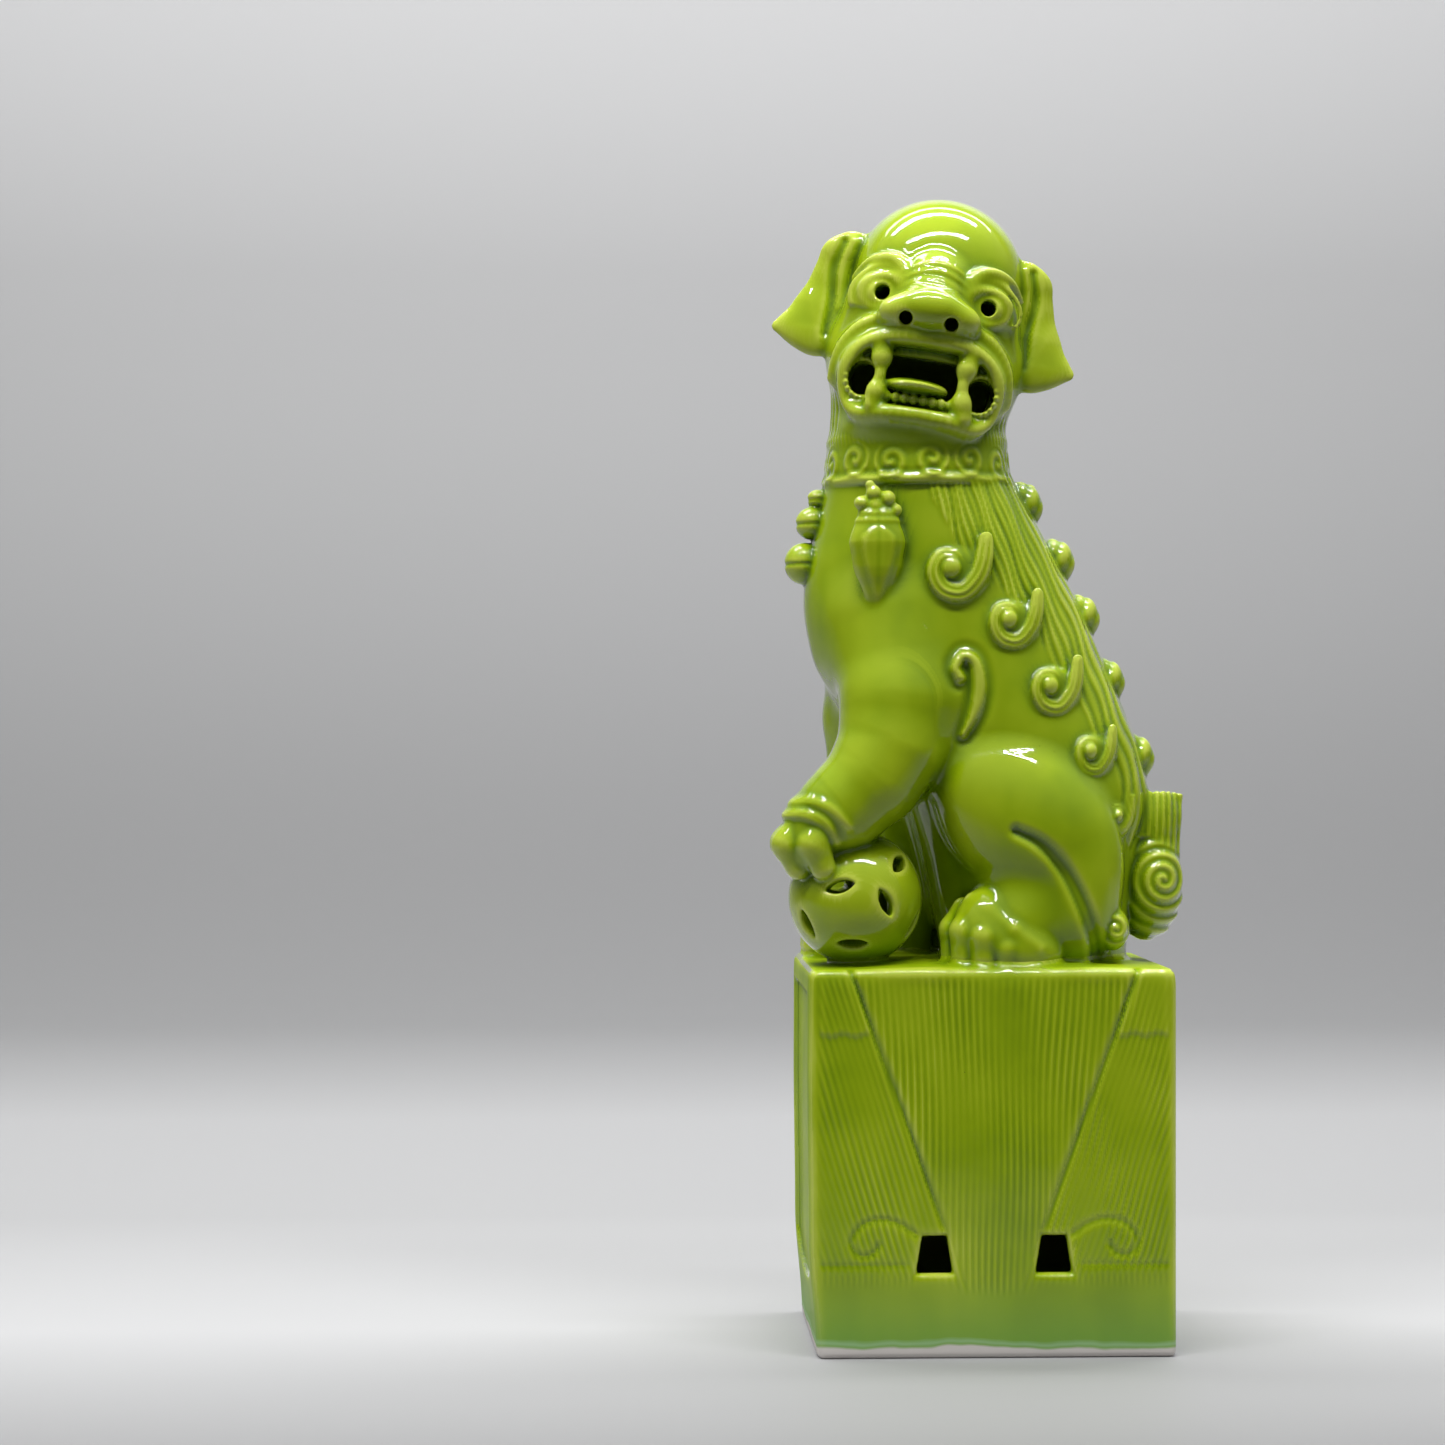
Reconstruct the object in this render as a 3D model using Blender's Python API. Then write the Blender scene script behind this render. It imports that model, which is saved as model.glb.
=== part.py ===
"""Seated guardian lion on a tall draped plinth, slip-cast and glazed.

The statue is built the way a pottery luts it together before firing: hollow castings for the
plinth, torso, head and ball, and solid pressed or rolled pieces for the limbs and the sprigs.
Every shape is modelled in millimetres about the middle of the plinth, with the lion's chest
towards -X and its turned face towards -Y. The last step puts it in metres and sets the origin
at the middle of the underside of its bounding box.
"""

import math

import bmesh
import bpy
from mathutils import Euler, Matrix, Vector

# ---------------------------------------------------------------- driving dimensions, in mm
PLINTH_WIDTH = 94.8
PLINTH_OFFSET = -1.4  # its middle in x
PLINTH_DEPTH = 70.0
PLINTH_HEIGHT = 100.6
PLINTH_ROUNDING = 2.5
WALL = 4.5  # thickness of a slip-cast wall
GAP = 0.35  # clearance between two luted pieces
VENT_RADIUS = 12.0  # firing vent from the torso into the plinth

WINDOW_HEIGHT = 9.6
WINDOW_TOP_WIDTH = 6.4
WINDOW_FOOT_WIDTH = 9.6
WINDOW_SILL = 22.2
WINDOW_OFFSET = 15.5
PANEL_DEPTH = 1.2
PANEL_MARGIN = 7.0

NECK_Z = 227.0  # joint between the torso casting and the head casting
HEAD_CENTRE = Vector((-12.4, 1.0, 283.2))
HEAD_YAW = math.radians(-6.0)  # turned from -Y towards the chest side
HEAD_ROLL = math.radians(9.0)
HEAD_PITCH = math.radians(-3.0)

BALL_CENTRE = Vector((-35.0, -15.0, 118.4))
BALL_RADIUS = 17.7
BALL_WALL = 3.4
SLOT_HALF_SIZE = (3.9, 1.5)

# Height, foremost x, rearmost x and half thickness in y, up the torso casting.
TORSO_STATIONS = (
    (100.95, -11.0, 37.0, 22.0),
    (115.0, -14.0, 39.2, 24.0),
    (130.0, -17.0, 41.2, 25.0),
    (145.0, -22.0, 44.2, 25.5),
    (155.0, -28.5, 42.0, 25.8),
    (165.0, -36.0, 38.6, 26.0),
    (172.0, -41.0, 35.7, 26.0),
    (179.0, -45.3, 32.4, 26.0),
    (187.0, -47.5, 29.2, 25.8),
    (196.0, -48.6, 25.1, 25.5),
    (206.0, -47.9, 20.2, 25.0),
    (214.0, -46.0, 15.9, 24.6),
    (221.0, -44.4, 12.0, 24.0),
    (227.0, -43.4, 8.5, 23.5),
)

GLAZE_GREEN = (0.25, 0.38, 0.012, 1.0)
GLAZE_ROUGHNESS = 0.08
MM = 0.001


# ---------------------------------------------------------------- shapes as bmesh
def rotation(x=0.0, y=0.0, z=0.0):
    """Rotation about X, then Y, then Z, in degrees."""
    return Euler((math.radians(x), math.radians(y), math.radians(z))).to_matrix().to_4x4()


def add_ellipsoid(bm, centre, radii, turn=None, segments=20, rings=12):
    place = Matrix.Translation(centre) @ (turn or Matrix.Identity(4)) @ Matrix.Diagonal((*radii, 1.0))
    bmesh.ops.create_uvsphere(bm, u_segments=segments, v_segments=rings, radius=1.0, matrix=place)


def add_limb(bm, joints, segments=16):
    """Spheres joined by tapered cylinders. joints is a list of (centre, radius)."""
    for centre, radius in joints:
        add_ellipsoid(bm, centre, (radius,) * 3, segments=segments, rings=10)
    for (start, r0), (end, r1) in zip(joints, joints[1:]):
        axis = Vector(end) - Vector(start)
        along = axis.to_track_quat("Z", "Y").to_matrix().to_4x4()
        place = Matrix.Translation((Vector(start) + Vector(end)) / 2) @ along
        bmesh.ops.create_cone(
            bm, cap_ends=True, segments=segments, radius1=r0, radius2=r1, depth=axis.length, matrix=place
        )


def add_box(bm, low, high):
    low, high = Vector(low), Vector(high)
    place = Matrix.Translation((low + high) / 2) @ Matrix.Diagonal((*(high - low), 1.0))
    bmesh.ops.create_cube(bm, size=1.0, matrix=place)


def add_loft(bm, stations, inset=0.0, segments=24):
    """Rings of vertices up the torso, one ellipse at each station. Returns the rings."""
    rings = []
    for z, front, back, half in stations:
        middle, reach = (front + back) / 2, (back - front) / 2 - inset
        turn = [2 * math.pi * i / segments for i in range(segments)]
        rings.append([
            bm.verts.new((middle + reach * math.cos(a), (half - inset) * math.sin(a), z)) for a in turn
        ])
    for low, high in zip(rings, rings[1:]):
        bridge(bm, low, high)
    return rings


def bridge(bm, low, high):
    count = len(low)
    for i in range(count):
        j = (i + 1) % count
        bm.faces.new((low[i], low[j], high[j], high[i]))


def add_outline(bm, points, low_y, high_y):
    """A flat outline in x and z, extruded from low_y to high_y."""
    near = [bm.verts.new((x, low_y, z)) for x, z in points]
    far = [bm.verts.new((x, high_y, z)) for x, z in points]
    bm.faces.new(near)
    bm.faces.new(list(reversed(far)))
    for i in range(len(points)):
        j = (i + 1) % len(points)
        bm.faces.new((near[i], far[i], far[j], near[j]))
    bmesh.ops.recalc_face_normals(bm, faces=bm.faces)


# ---------------------------------------------------------------- objects
def new_object(name, bm, helper=False):
    mesh = bpy.data.meshes.new(name)
    bmesh.ops.recalc_face_normals(bm, faces=bm.faces)
    bm.to_mesh(mesh)
    bm.free()
    obj = bpy.data.objects.new(name, mesh)
    bpy.context.scene.collection.objects.link(obj)
    if helper:
        obj.hide_render = True
        obj.display_type = "WIRE"
    return obj


def apply_modifiers(obj):
    graph = bpy.context.evaluated_depsgraph_get()
    mesh = bpy.data.meshes.new_from_object(obj.evaluated_get(graph))
    obj.modifiers.clear()
    obj.data = mesh


def fuse(obj, voxel, smoothing=4, factor=0.5, keep=0.4):
    """Joins the overlapping primitives of obj into one skin and eases the creases between them.

    keep is the share of the triangles left after thinning them where the skin is nearly flat.
    """
    remesh = obj.modifiers.new("fuse", "REMESH")
    remesh.mode = "VOXEL"
    remesh.voxel_size = voxel
    if smoothing:
        ease = obj.modifiers.new("ease", "SMOOTH")
        ease.factor = factor
        ease.iterations = smoothing
    thin = obj.modifiers.new("thin", "DECIMATE")
    thin.ratio = keep
    apply_modifiers(obj)
    return obj


def bevel(obj, width, segments=2, angle=30.0):
    modifier = obj.modifiers.new("rounding", "BEVEL")
    modifier.width = width
    modifier.segments = segments
    modifier.limit_method = "ANGLE"
    modifier.angle_limit = math.radians(angle)
    apply_modifiers(obj)


def boolean(obj, other, operation="DIFFERENCE"):
    modifier = obj.modifiers.new("cut", "BOOLEAN")
    modifier.object = other
    modifier.operation = operation
    modifier.solver = "EXACT"
    apply_modifiers(obj)


def copy_of(obj, name):
    made = bpy.data.objects.new(name, obj.data.copy())
    bpy.context.scene.collection.objects.link(made)
    made.hide_render = True
    made.display_type = "WIRE"
    return made


def remove(obj):
    bpy.data.objects.remove(obj)


def mirrored(obj, name):
    """The same piece on the far side of the lion."""
    bm = bmesh.new()
    bm.from_mesh(obj.data)
    bmesh.ops.transform(bm, matrix=Matrix.Diagonal((1.0, -1.0, 1.0, 1.0)), verts=bm.verts)
    bmesh.ops.reverse_faces(bm, faces=bm.faces)
    return new_object(name, bm)


def grown(obj, by):
    """A helper copy of obj whose skin stands out by that much."""
    made = copy_of(obj, obj.name + "_grown")
    swell = made.modifiers.new("swell", "DISPLACE")
    swell.strength = by
    swell.mid_level = 0.0
    apply_modifiers(made)
    return made


def keep_largest(obj):
    """Leaves out the small offcuts that a cut has parted from the piece."""
    bm = bmesh.new()
    bm.from_mesh(obj.data)
    unseen, islands = set(bm.verts), []
    while unseen:
        island, edge = set(), [unseen.pop()]
        while edge:
            vert = edge.pop()
            island.add(vert)
            near = {e.other_vert(vert) for e in vert.link_edges} & unseen
            unseen -= near
            edge.extend(near)
        islands.append(island)
    islands.sort(key=len)
    offcuts = [v for island in islands[:-1] for v in island]
    bmesh.ops.delete(bm, geom=offcuts, context="VERTS")
    bm.to_mesh(obj.data)
    bm.free()


def cut_clear_of(piece, *solids, gap=GAP):
    """Cuts piece back so that it meets each neighbour face to face, a gap apart."""
    for solid in solids:
        cutter = grown(solid, gap)
        boolean(piece, cutter)
        remove(cutter)
    keep_largest(piece)
    return piece


def cut_box(piece, low, high):
    bm = bmesh.new()
    add_box(bm, low, high)
    cutter = new_object("box_cutter", bm, helper=True)
    boolean(piece, cutter)
    remove(cutter)


def cut_cylinder(piece, start, end, radius, segments=16, end_radius=None):
    start, end = Vector(start), Vector(end)
    axis = end - start
    bm = bmesh.new()
    place = Matrix.Translation((start + end) / 2) @ axis.to_track_quat("Z", "Y").to_matrix().to_4x4()
    bmesh.ops.create_cone(
        bm,
        cap_ends=True,
        segments=segments,
        radius1=radius,
        radius2=radius if end_radius is None else end_radius,
        depth=axis.length,
        matrix=place,
    )
    cutter = new_object("bore_cutter", bm, helper=True)
    boolean(piece, cutter)
    remove(cutter)


def stand_on_plinth(piece):
    """Trims a piece flat, a gap above the top of the plinth."""
    reach = 200.0
    cut_box(piece, (-reach, -reach, PLINTH_HEIGHT - reach), (reach, reach, PLINTH_HEIGHT + GAP))
    keep_largest(piece)


# ---------------------------------------------------------------- plinth
def window_points(side):
    """Corners of one trapezoid window in the front face, wider at its foot."""
    foot, head = WINDOW_FOOT_WIDTH / 2, WINDOW_TOP_WIDTH / 2
    top = WINDOW_SILL + WINDOW_HEIGHT
    corners = [(-foot, WINDOW_SILL), (foot, WINDOW_SILL), (head, top), (-head, top)]
    return [(side * WINDOW_OFFSET + x, z) for x, z in corners]


def panel_points():
    """The outline of a recessed side panel: square above, arched at its foot."""
    half = PLINTH_DEPTH / 2 - PANEL_MARGIN
    foot, top = 2.4 * PANEL_MARGIN, PLINTH_HEIGHT - PANEL_MARGIN
    turn = [math.pi * i / 10 for i in range(11)]
    arch = [(-half * math.cos(a), foot + half * (1 - math.sin(a)) * 0.5) for a in turn]
    return arch + [(half, top), (-half, top)]


def make_plinth():
    bm = bmesh.new()
    half_w, half_d = PLINTH_WIDTH / 2, PLINTH_DEPTH / 2
    add_box(bm, (-half_w, -half_d, 0), (half_w, half_d, PLINTH_HEIGHT))
    plinth = new_object("plinth_shell", bm)
    bevel(plinth, PLINTH_ROUNDING, angle=60.0)
    top = PLINTH_HEIGHT - WALL
    cut_box(
        plinth,
        (-half_w + PANEL_DEPTH + WALL, -half_d + WALL, -10),
        (half_w - PANEL_DEPTH - WALL, half_d - WALL, top),
    )
    for side in (-1, 1):
        bm = bmesh.new()
        add_outline(bm, window_points(side), -half_d - 5, half_d + 5)
        cutter = new_object("window_cutter", bm, helper=True)
        boolean(plinth, cutter)
        remove(cutter)
    for side in (-1, 1):
        bm = bmesh.new()
        add_outline(bm, panel_points(), -PANEL_DEPTH, 5.0)
        place = Matrix.Translation((side * half_w, 0, 0)) @ Matrix.Rotation(side * math.pi / 2, 4, "Z")
        bmesh.ops.transform(bm, matrix=place @ Matrix.Rotation(math.pi, 4, "Z"), verts=bm.verts)
        cutter = new_object("panel_cutter", bm, helper=True)
        boolean(plinth, cutter)
        remove(cutter)
    plinth.data.transform(Matrix.Translation((PLINTH_OFFSET, 0, 0)))
    vent_x = (TORSO_STATIONS[0][1] + TORSO_STATIONS[0][2]) / 2
    cut_cylinder(plinth, (vent_x, 0, top - 5), (vent_x, 0, PLINTH_HEIGHT + 5), VENT_RADIUS, 24)
    return plinth


# ---------------------------------------------------------------- torso
def make_torso_solid():
    bm = bmesh.new()
    rings = add_loft(bm, TORSO_STATIONS)
    bm.faces.new(list(reversed(rings[0])))
    bm.faces.new(rings[-1])
    return new_object("torso_solid", bm, helper=True)


def make_torso():
    """A tube with a cast wall, open to the plinth's vent below and to the head above."""
    bm = bmesh.new()
    outer = add_loft(bm, TORSO_STATIONS)
    inner = add_loft(bm, TORSO_STATIONS, inset=WALL)
    bridge(bm, outer[-1], inner[-1])
    bridge(bm, outer[0], inner[0])
    return new_object("torso_shell", bm)


# ---------------------------------------------------------------- head
HEAD = (
    Matrix.Translation(HEAD_CENTRE)
    @ Matrix.Rotation(HEAD_YAW, 4, "Z")
    @ Matrix.Rotation(HEAD_ROLL, 4, "Y")
    @ Matrix.Rotation(HEAD_PITCH, 4, "X")
)
FANG_OFFSET = 11.4
EYE_OFFSET, EYE_HEIGHT = 14.4, -8.7
NOSTRIL_OFFSET, NOSTRIL_HEIGHT = 6.0, -16.7


def head_point(across, depth, up):
    """A point of the head: across to the viewer's right, depth away from the viewer, and up."""
    return HEAD @ Vector((across, depth, up))


def add_head_ellipsoid(bm, centre, radii, shrink, turn=None):
    kept = [r - shrink for r in radii]
    place = HEAD @ Matrix.Translation(centre) @ (turn or Matrix.Identity(4)) @ Matrix.Diagonal((*kept, 1.0))
    bmesh.ops.create_uvsphere(bm, u_segments=28, v_segments=18, radius=1.0, matrix=place)


def make_head_mass(name, shrink, voxel):
    """The skull, cheeks, muzzle and neck as one skin. shrink draws it in, for the hollow."""
    bm = bmesh.new()
    add_head_ellipsoid(bm, (0, 2, 0), (22.8, 22.5, 22.0), shrink)
    add_head_ellipsoid(bm, (0, 1, -21), (26.6, 22.5, 22), shrink)
    add_head_ellipsoid(bm, (0, -13, -31), (21.8, 19.2, 14.5), shrink)
    neck = [
        (head_point(0, 1, -26), 23.0 - shrink),
        (Vector((-18.0, 0.0, 242.0)), 22.8 - shrink),
        (Vector((-18.0, 0.0, 220.0)), 22.6 - shrink),
    ]
    add_limb(bm, neck, segments=28)
    if not shrink:
        add_head_ellipsoid(bm, (0, -12, -42), (16.5, 14.5, 6.0), 0)
        add_head_ellipsoid(bm, (0, -20, -39.6), (17.8, 9.5, 3.6), 0)
        add_head_ellipsoid(bm, (0, -25, -14), (13.4, 9.0, 5.4), 0)
        add_head_ellipsoid(bm, (0, -20, -7), (6.5, 8.0, 8.5), 0)
        for side in (-1, 1):
            brow = rotation(y=-15 * side)
            add_head_ellipsoid(bm, (side * 13, -17, -0.5), (9.5, 5.5, 4.0), 0, brow)
            add_head_ellipsoid(bm, (side * EYE_OFFSET, -17, EYE_HEIGHT), (6.0, 5.0, 5.0), 0)
    return fuse(new_object(name, bm, helper=True), voxel, smoothing=2, keep=0.22)


def mouth_points():
    """The outline of the open mouth, drooping towards its corners."""
    right = [(0, -25.3), (9, -25), (15, -26), (18.5, -29), (18.5, -34), (16, -37), (9, -37.4), (0, -37.2)]
    return right + [(-x, z) for x, z in reversed(right[1:-1])]


def make_head(solid):
    head = copy_of(solid, "head_shell")
    head.hide_render = False
    head.display_type = "TEXTURED"
    hollow = make_head_mass("head_hollow", WALL, voxel=4.0)
    boolean(head, hollow)
    remove(hollow)
    reach = 200.0
    cut_box(head, (-reach, -reach, NECK_Z - reach), (reach, reach, NECK_Z + GAP))
    bm = bmesh.new()
    add_outline(bm, mouth_points(), -60, -8)
    bmesh.ops.transform(bm, matrix=HEAD, verts=bm.verts)
    mouth = new_object("mouth_cutter", bm, helper=True)
    boolean(head, mouth)
    remove(mouth)
    for side in (-1, 1):
        eye = (side * EYE_OFFSET, -30, EYE_HEIGHT)
        behind = (side * (EYE_OFFSET - 3), -8, EYE_HEIGHT)
        cut_cylinder(head, head_point(*eye), head_point(*behind), 2.1, 12)
        nostril = (side * NOSTRIL_OFFSET, -45, NOSTRIL_HEIGHT)
        behind = (side * (NOSTRIL_OFFSET - 0.5), -8, NOSTRIL_HEIGHT + 2)
        cut_cylinder(head, head_point(*nostril), head_point(*behind), 1.8, 10)
    keep_largest(head)
    return head


EAR_OUTLINE = (
    (15.0, 6.0),
    (23.0, 9.4),
    (28.4, 9.0),
    (32.2, 4.2),
    (34.6, -4.0),
    (37.8, -12.0),
    (42.4, -17.6),
    (41.5, -20.8),
    (35.0, -24.0),
    (27.0, -27.4),
    (15.0, -22.0),
)


def make_ear(side, head_solid):
    """A folded, hanging ear: root along the temple, tip out and down."""
    bm = bmesh.new()
    add_outline(bm, [(side * x, z) for x, z in EAR_OUTLINE], -4.2, 4.6)
    bmesh.ops.transform(bm, matrix=HEAD @ Matrix.Translation((0, 1, 0)), verts=bm.verts)
    name = "left_ear" if side > 0 else "right_ear"
    ear = fuse(new_object(name, bm), 1.6, smoothing=6, keep=0.16)
    return cut_clear_of(ear, head_solid)


def make_tongue(head):
    bm = bmesh.new()
    add_ellipsoid(bm, (0, -20, -34.0), (8.8, 8.5, 2.4), rotation(x=-4), 20, 10)
    add_ellipsoid(bm, (0, -16.5, -39.5), (7.5, 5.0, 6.0), None, 20, 10)
    bmesh.ops.transform(bm, matrix=HEAD, verts=bm.verts)
    tongue = fuse(new_object("tongue", bm), 1.8, smoothing=2, keep=0.3)
    return cut_clear_of(tongue, head)


def make_fangs(side, head, tongue):
    """An upper and a lower fang that meet tip to tip across the open mouth."""
    bm = bmesh.new()
    profile = ((-40.5, 3.2), (-36.5, 2.7), (-32.2, 1.3), (-30.2, 1.3), (-26.0, 2.7), (-22.0, 3.2))
    rings = []
    for up, radius in profile:
        turn = [2 * math.pi * i / 10 for i in range(10)]
        middle = Vector((side * FANG_OFFSET, -25.8 - 0.05 * up - 1.4, up))
        rings.append([bm.verts.new(middle + radius * Vector((math.cos(a), math.sin(a), 0))) for a in turn])
    for low, high in zip(rings, rings[1:]):
        bridge(bm, low, high)
    bm.faces.new(list(reversed(rings[0])))
    bm.faces.new(rings[-1])
    bmesh.ops.transform(bm, matrix=HEAD, verts=bm.verts)
    fangs = new_object("left_fangs" if side > 0 else "right_fangs", bm)
    return cut_clear_of(fangs, head, tongue)


# ---------------------------------------------------------------- neck and chest ornaments
def make_collar(head_solid):
    """The scrolled mane collar, a band that covers the joint between torso and head."""
    bm = bmesh.new()
    rows = ((NECK_Z + GAP, 25.2, 24.3), (229.0, 25.4, 24.5), (231.0, 24.8, 24.1), (240.5, 23.9, 23.8))
    rings = add_loft(bm, [(z, -18.0 - rx, -18.0 + rx, ry) for z, rx, ry in rows], segments=32)
    bm.faces.new(list(reversed(rings[0])))
    bm.faces.new(rings[-1])
    collar = new_object("neck_collar", bm)
    return cut_clear_of(collar, head_solid)


CHEST_BEADS = (
    ("chest_bead_top", (-44.9, 0, 224.6), (3.2, 3.2, 2.6)),
    ("chest_bell_small", (-46.4, 0, 217.9), (4.5, 4.8, 4.4)),
    ("chest_bell_large", (-48.5, 0, 207.2), (5.2, 5.8, 5.6)),
)


def make_chest_beads(torso_solid, collar):
    made = []
    for name, centre, radii in CHEST_BEADS:
        bm = bmesh.new()
        add_ellipsoid(bm, centre, radii, None, 14, 8)
        bead = new_object(name, bm)
        cut_clear_of(bead, torso_solid, collar, *made)
        made.append(bead)
    return made


def make_tassel(side, torso_solid, collar, foreleg):
    """A pointed tassel that hangs from the collar over the shoulder."""
    x, y = -29.6, side * 23.4
    bm = bmesh.new()
    add_ellipsoid(bm, (x, y, 211.5), (7.2, 5.0, 8.5), None, 16, 10)
    add_ellipsoid(bm, (x, y, 203.5), (4.4, 4.2, 9.0), None, 16, 10)
    add_ellipsoid(bm, (x, y, 219.5), (4.8, 4.6, 4.6), None, 16, 10)
    name = "left_tassel" if side < 0 else "right_tassel"
    tassel = fuse(new_object(name, bm), 1.4, smoothing=2, keep=0.3)
    return cut_clear_of(tassel, torso_solid, collar, foreleg)


SPINE_KNOBS = ((9.4, 222.6), (18.0, 207.6), (24.8, 192.6), (31.6, 175.4), (39.6, 155.0))


def make_spine_knobs(torso_solid, collar):
    made = []
    for i, (x, z) in enumerate(SPINE_KNOBS, 1):
        bm = bmesh.new()
        add_ellipsoid(bm, (x, 0, z), (6.2, 6.4, 6.4), rotation(y=28), 12, 8)
        knob = new_object(f"spine_knob_{i}", bm)
        made.append(cut_clear_of(knob, torso_solid, collar))
    return made


# Middle (x, z) and radius of each curl at the end of a lock of the mane, down the near flank.
MANE_CURLS = (
    (-10.0, 204.0, 8.0),
    (5.6, 191.0, 6.8),
    (16.8, 173.6, 6.6),
    (27.2, 156.5, 5.5),
    (34.6, 140.0, 3.6),
)


def torso_half_at(x, z):
    """Half the thickness of the torso at this x and height."""
    for (z0, *low), (z1, *high) in zip(TORSO_STATIONS, TORSO_STATIONS[1:]):
        if z0 <= z <= z1:
            share = (z - z0) / (z1 - z0)
            front, back, half = (a + share * (b - a) for a, b in zip(low, high))
            along = (x - (front + back) / 2) / ((back - front) / 2)
            return half * math.sqrt(max(0.0, 1 - along * along))
    return 0.0


def make_mane_curls(torso_solid):
    """The raised curls of the left flank, as buttons laid on the torso."""
    made = []
    for i, (x, z, radius) in enumerate(MANE_CURLS, 1):
        y = -torso_half_at(x, z)
        lean = torso_half_at(x + 1, z) - torso_half_at(x - 1, z)
        turn = rotation(z=math.degrees(math.atan2(-lean, 2.0)))
        bm = bmesh.new()
        add_ellipsoid(bm, (x, y, z), (radius, 2.6, radius), turn, 14, 6)
        curl = new_object(f"left_mane_curl_{i}", bm)
        made.append(cut_clear_of(curl, torso_solid))
    return made


# ---------------------------------------------------------------- ball
# Outward direction and turn of each lens-shaped slot on the near half of the pierced ball.
NEAR_SLOTS = (
    ((-0.31, -0.93, 0.21), 15),
    ((0.40, -0.92, -0.04), -65),
    ((0.63, -0.56, 0.54), 30),
    ((-0.77, -0.52, -0.38), -80),
    ((-0.10, -0.73, -0.67), 0),
    ((0.84, -0.35, -0.42), 75),
    ((-0.70, -0.35, 0.62), 60),
)


def ball_slots():
    """The near half's slots and their mirror images on the far half."""
    far = tuple(((x, -y, z), -twist) for (x, y, z), twist in NEAR_SLOTS)
    return NEAR_SLOTS + far


def make_ball():
    bm = bmesh.new()
    add_ellipsoid(bm, BALL_CENTRE, (BALL_RADIUS,) * 3, None, 24, 16)
    solid = new_object("ball_solid", bm, helper=True)
    stand_on_plinth(solid)
    ball = copy_of(solid, "pierced_ball")
    ball.hide_render = False
    ball.display_type = "TEXTURED"
    bm = bmesh.new()
    add_ellipsoid(bm, BALL_CENTRE, (BALL_RADIUS - BALL_WALL,) * 3, None, 14, 9)
    hollow = new_object("ball_hollow", bm, helper=True)
    boolean(ball, hollow)
    remove(hollow)
    for direction, twist in ball_slots():
        outward = Vector(direction).normalized()
        turn = outward.to_track_quat("Z", "Y").to_matrix().to_4x4() @ rotation(z=twist)
        lens = Matrix.Diagonal((*SLOT_HALF_SIZE, 1.0, 1.0))
        bm = bmesh.new()
        place = Matrix.Translation(BALL_CENTRE + outward * BALL_RADIUS) @ turn @ lens
        bmesh.ops.create_cone(bm, cap_ends=True, segments=6, radius1=1, radius2=1, depth=14, matrix=place)
        cutter = new_object("slot_cutter", bm, helper=True)
        boolean(ball, cutter)
        remove(cutter)
    keep_largest(ball)
    return ball, solid


# ---------------------------------------------------------------- limbs
def make_left_foreleg(torso_solid, ball_solid):
    """The raised near foreleg, with its paw on the ball."""
    bm = bmesh.new()
    joints = [
        ((-26, -15, 189), 14.5),
        ((-25.5, -19, 169), 13.6),
        ((-27, -21, 157.5), 12.8),
        ((-31.5, -22, 149.8), 11.8),
        ((-40.3, -22, 141.6), 11.0),
        ((-47, -22, 137), 9.8),
    ]
    add_limb(bm, joints)
    add_ellipsoid(bm, (-49.4, -22.0, 133.2), (8.2, 10.4, 9.8), rotation(y=14))
    foreleg = fuse(new_object("left_foreleg", bm), 2.6, keep=0.28)
    return cut_clear_of(foreleg, torso_solid, ball_solid)


def make_right_foreleg(torso_solid, ball_solid):
    """The straight far foreleg, standing on the plinth, with the web of clay that ties it to the belly."""
    bm = bmesh.new()
    joints = [
        ((-29, 16, 184), 12.5),
        ((-31, 18, 166), 10.2),
        ((-32.6, 19, 145), 8.4),
        ((-34.5, 19, 122), 7.8),
        ((-36, 19, 109), 7.6),
    ]
    add_limb(bm, joints)
    web = [((-26, 16, 166), 9.0), ((-23.5, 15, 140), 8.6), ((-22.5, 14, 106), 8.6)]
    add_limb(bm, web)
    add_ellipsoid(bm, (-40, 19, 106), (9.8, 8.6, 6.8))
    foreleg = fuse(new_object("right_foreleg", bm), 2.6, keep=0.28)
    stand_on_plinth(foreleg)
    return cut_clear_of(foreleg, torso_solid, ball_solid)


def make_left_haunch(torso_solid):
    """A folded hind leg: thigh, shin and rump in one pressing."""
    bm = bmesh.new()
    add_ellipsoid(bm, (9.6, -18.0, 138), (20.0, 15.5, 28.5), rotation(y=-45), 28, 18)
    add_ellipsoid(bm, (21, -16.5, 118), (13.0, 14.5, 19.0), None, 24, 16)
    add_ellipsoid(bm, (7, -17.0, 113), (13.0, 13.5, 16.0), None, 24, 16)
    haunch = fuse(new_object("left_haunch", bm), 2.8, keep=0.3)
    stand_on_plinth(haunch)
    return cut_clear_of(haunch, torso_solid)


def make_left_hind_paw(haunch, torso_solid):
    bm = bmesh.new()
    add_ellipsoid(bm, (-4.4, -24.8, 110.0), (9.2, 9.2, 11.4), rotation(y=8))
    add_ellipsoid(bm, (5, -26.0, 106.4), (13.8, 8.2, 8.4), rotation(y=16))
    paw = fuse(new_object("left_hind_paw", bm), 2.4)
    stand_on_plinth(paw)
    return cut_clear_of(paw, haunch, torso_solid)


def make_left_rump_knob(haunch, torso_solid):
    """The small scrolled knob where the haunch meets the plinth."""
    bm = bmesh.new()
    add_ellipsoid(bm, (31.6, -20.0, 110.0), (4.6, 6.0, 6.0), None, 14, 10)
    knob = new_object("left_rump_knob", bm)
    stand_on_plinth(knob)
    return cut_clear_of(knob, haunch, torso_solid)


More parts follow.
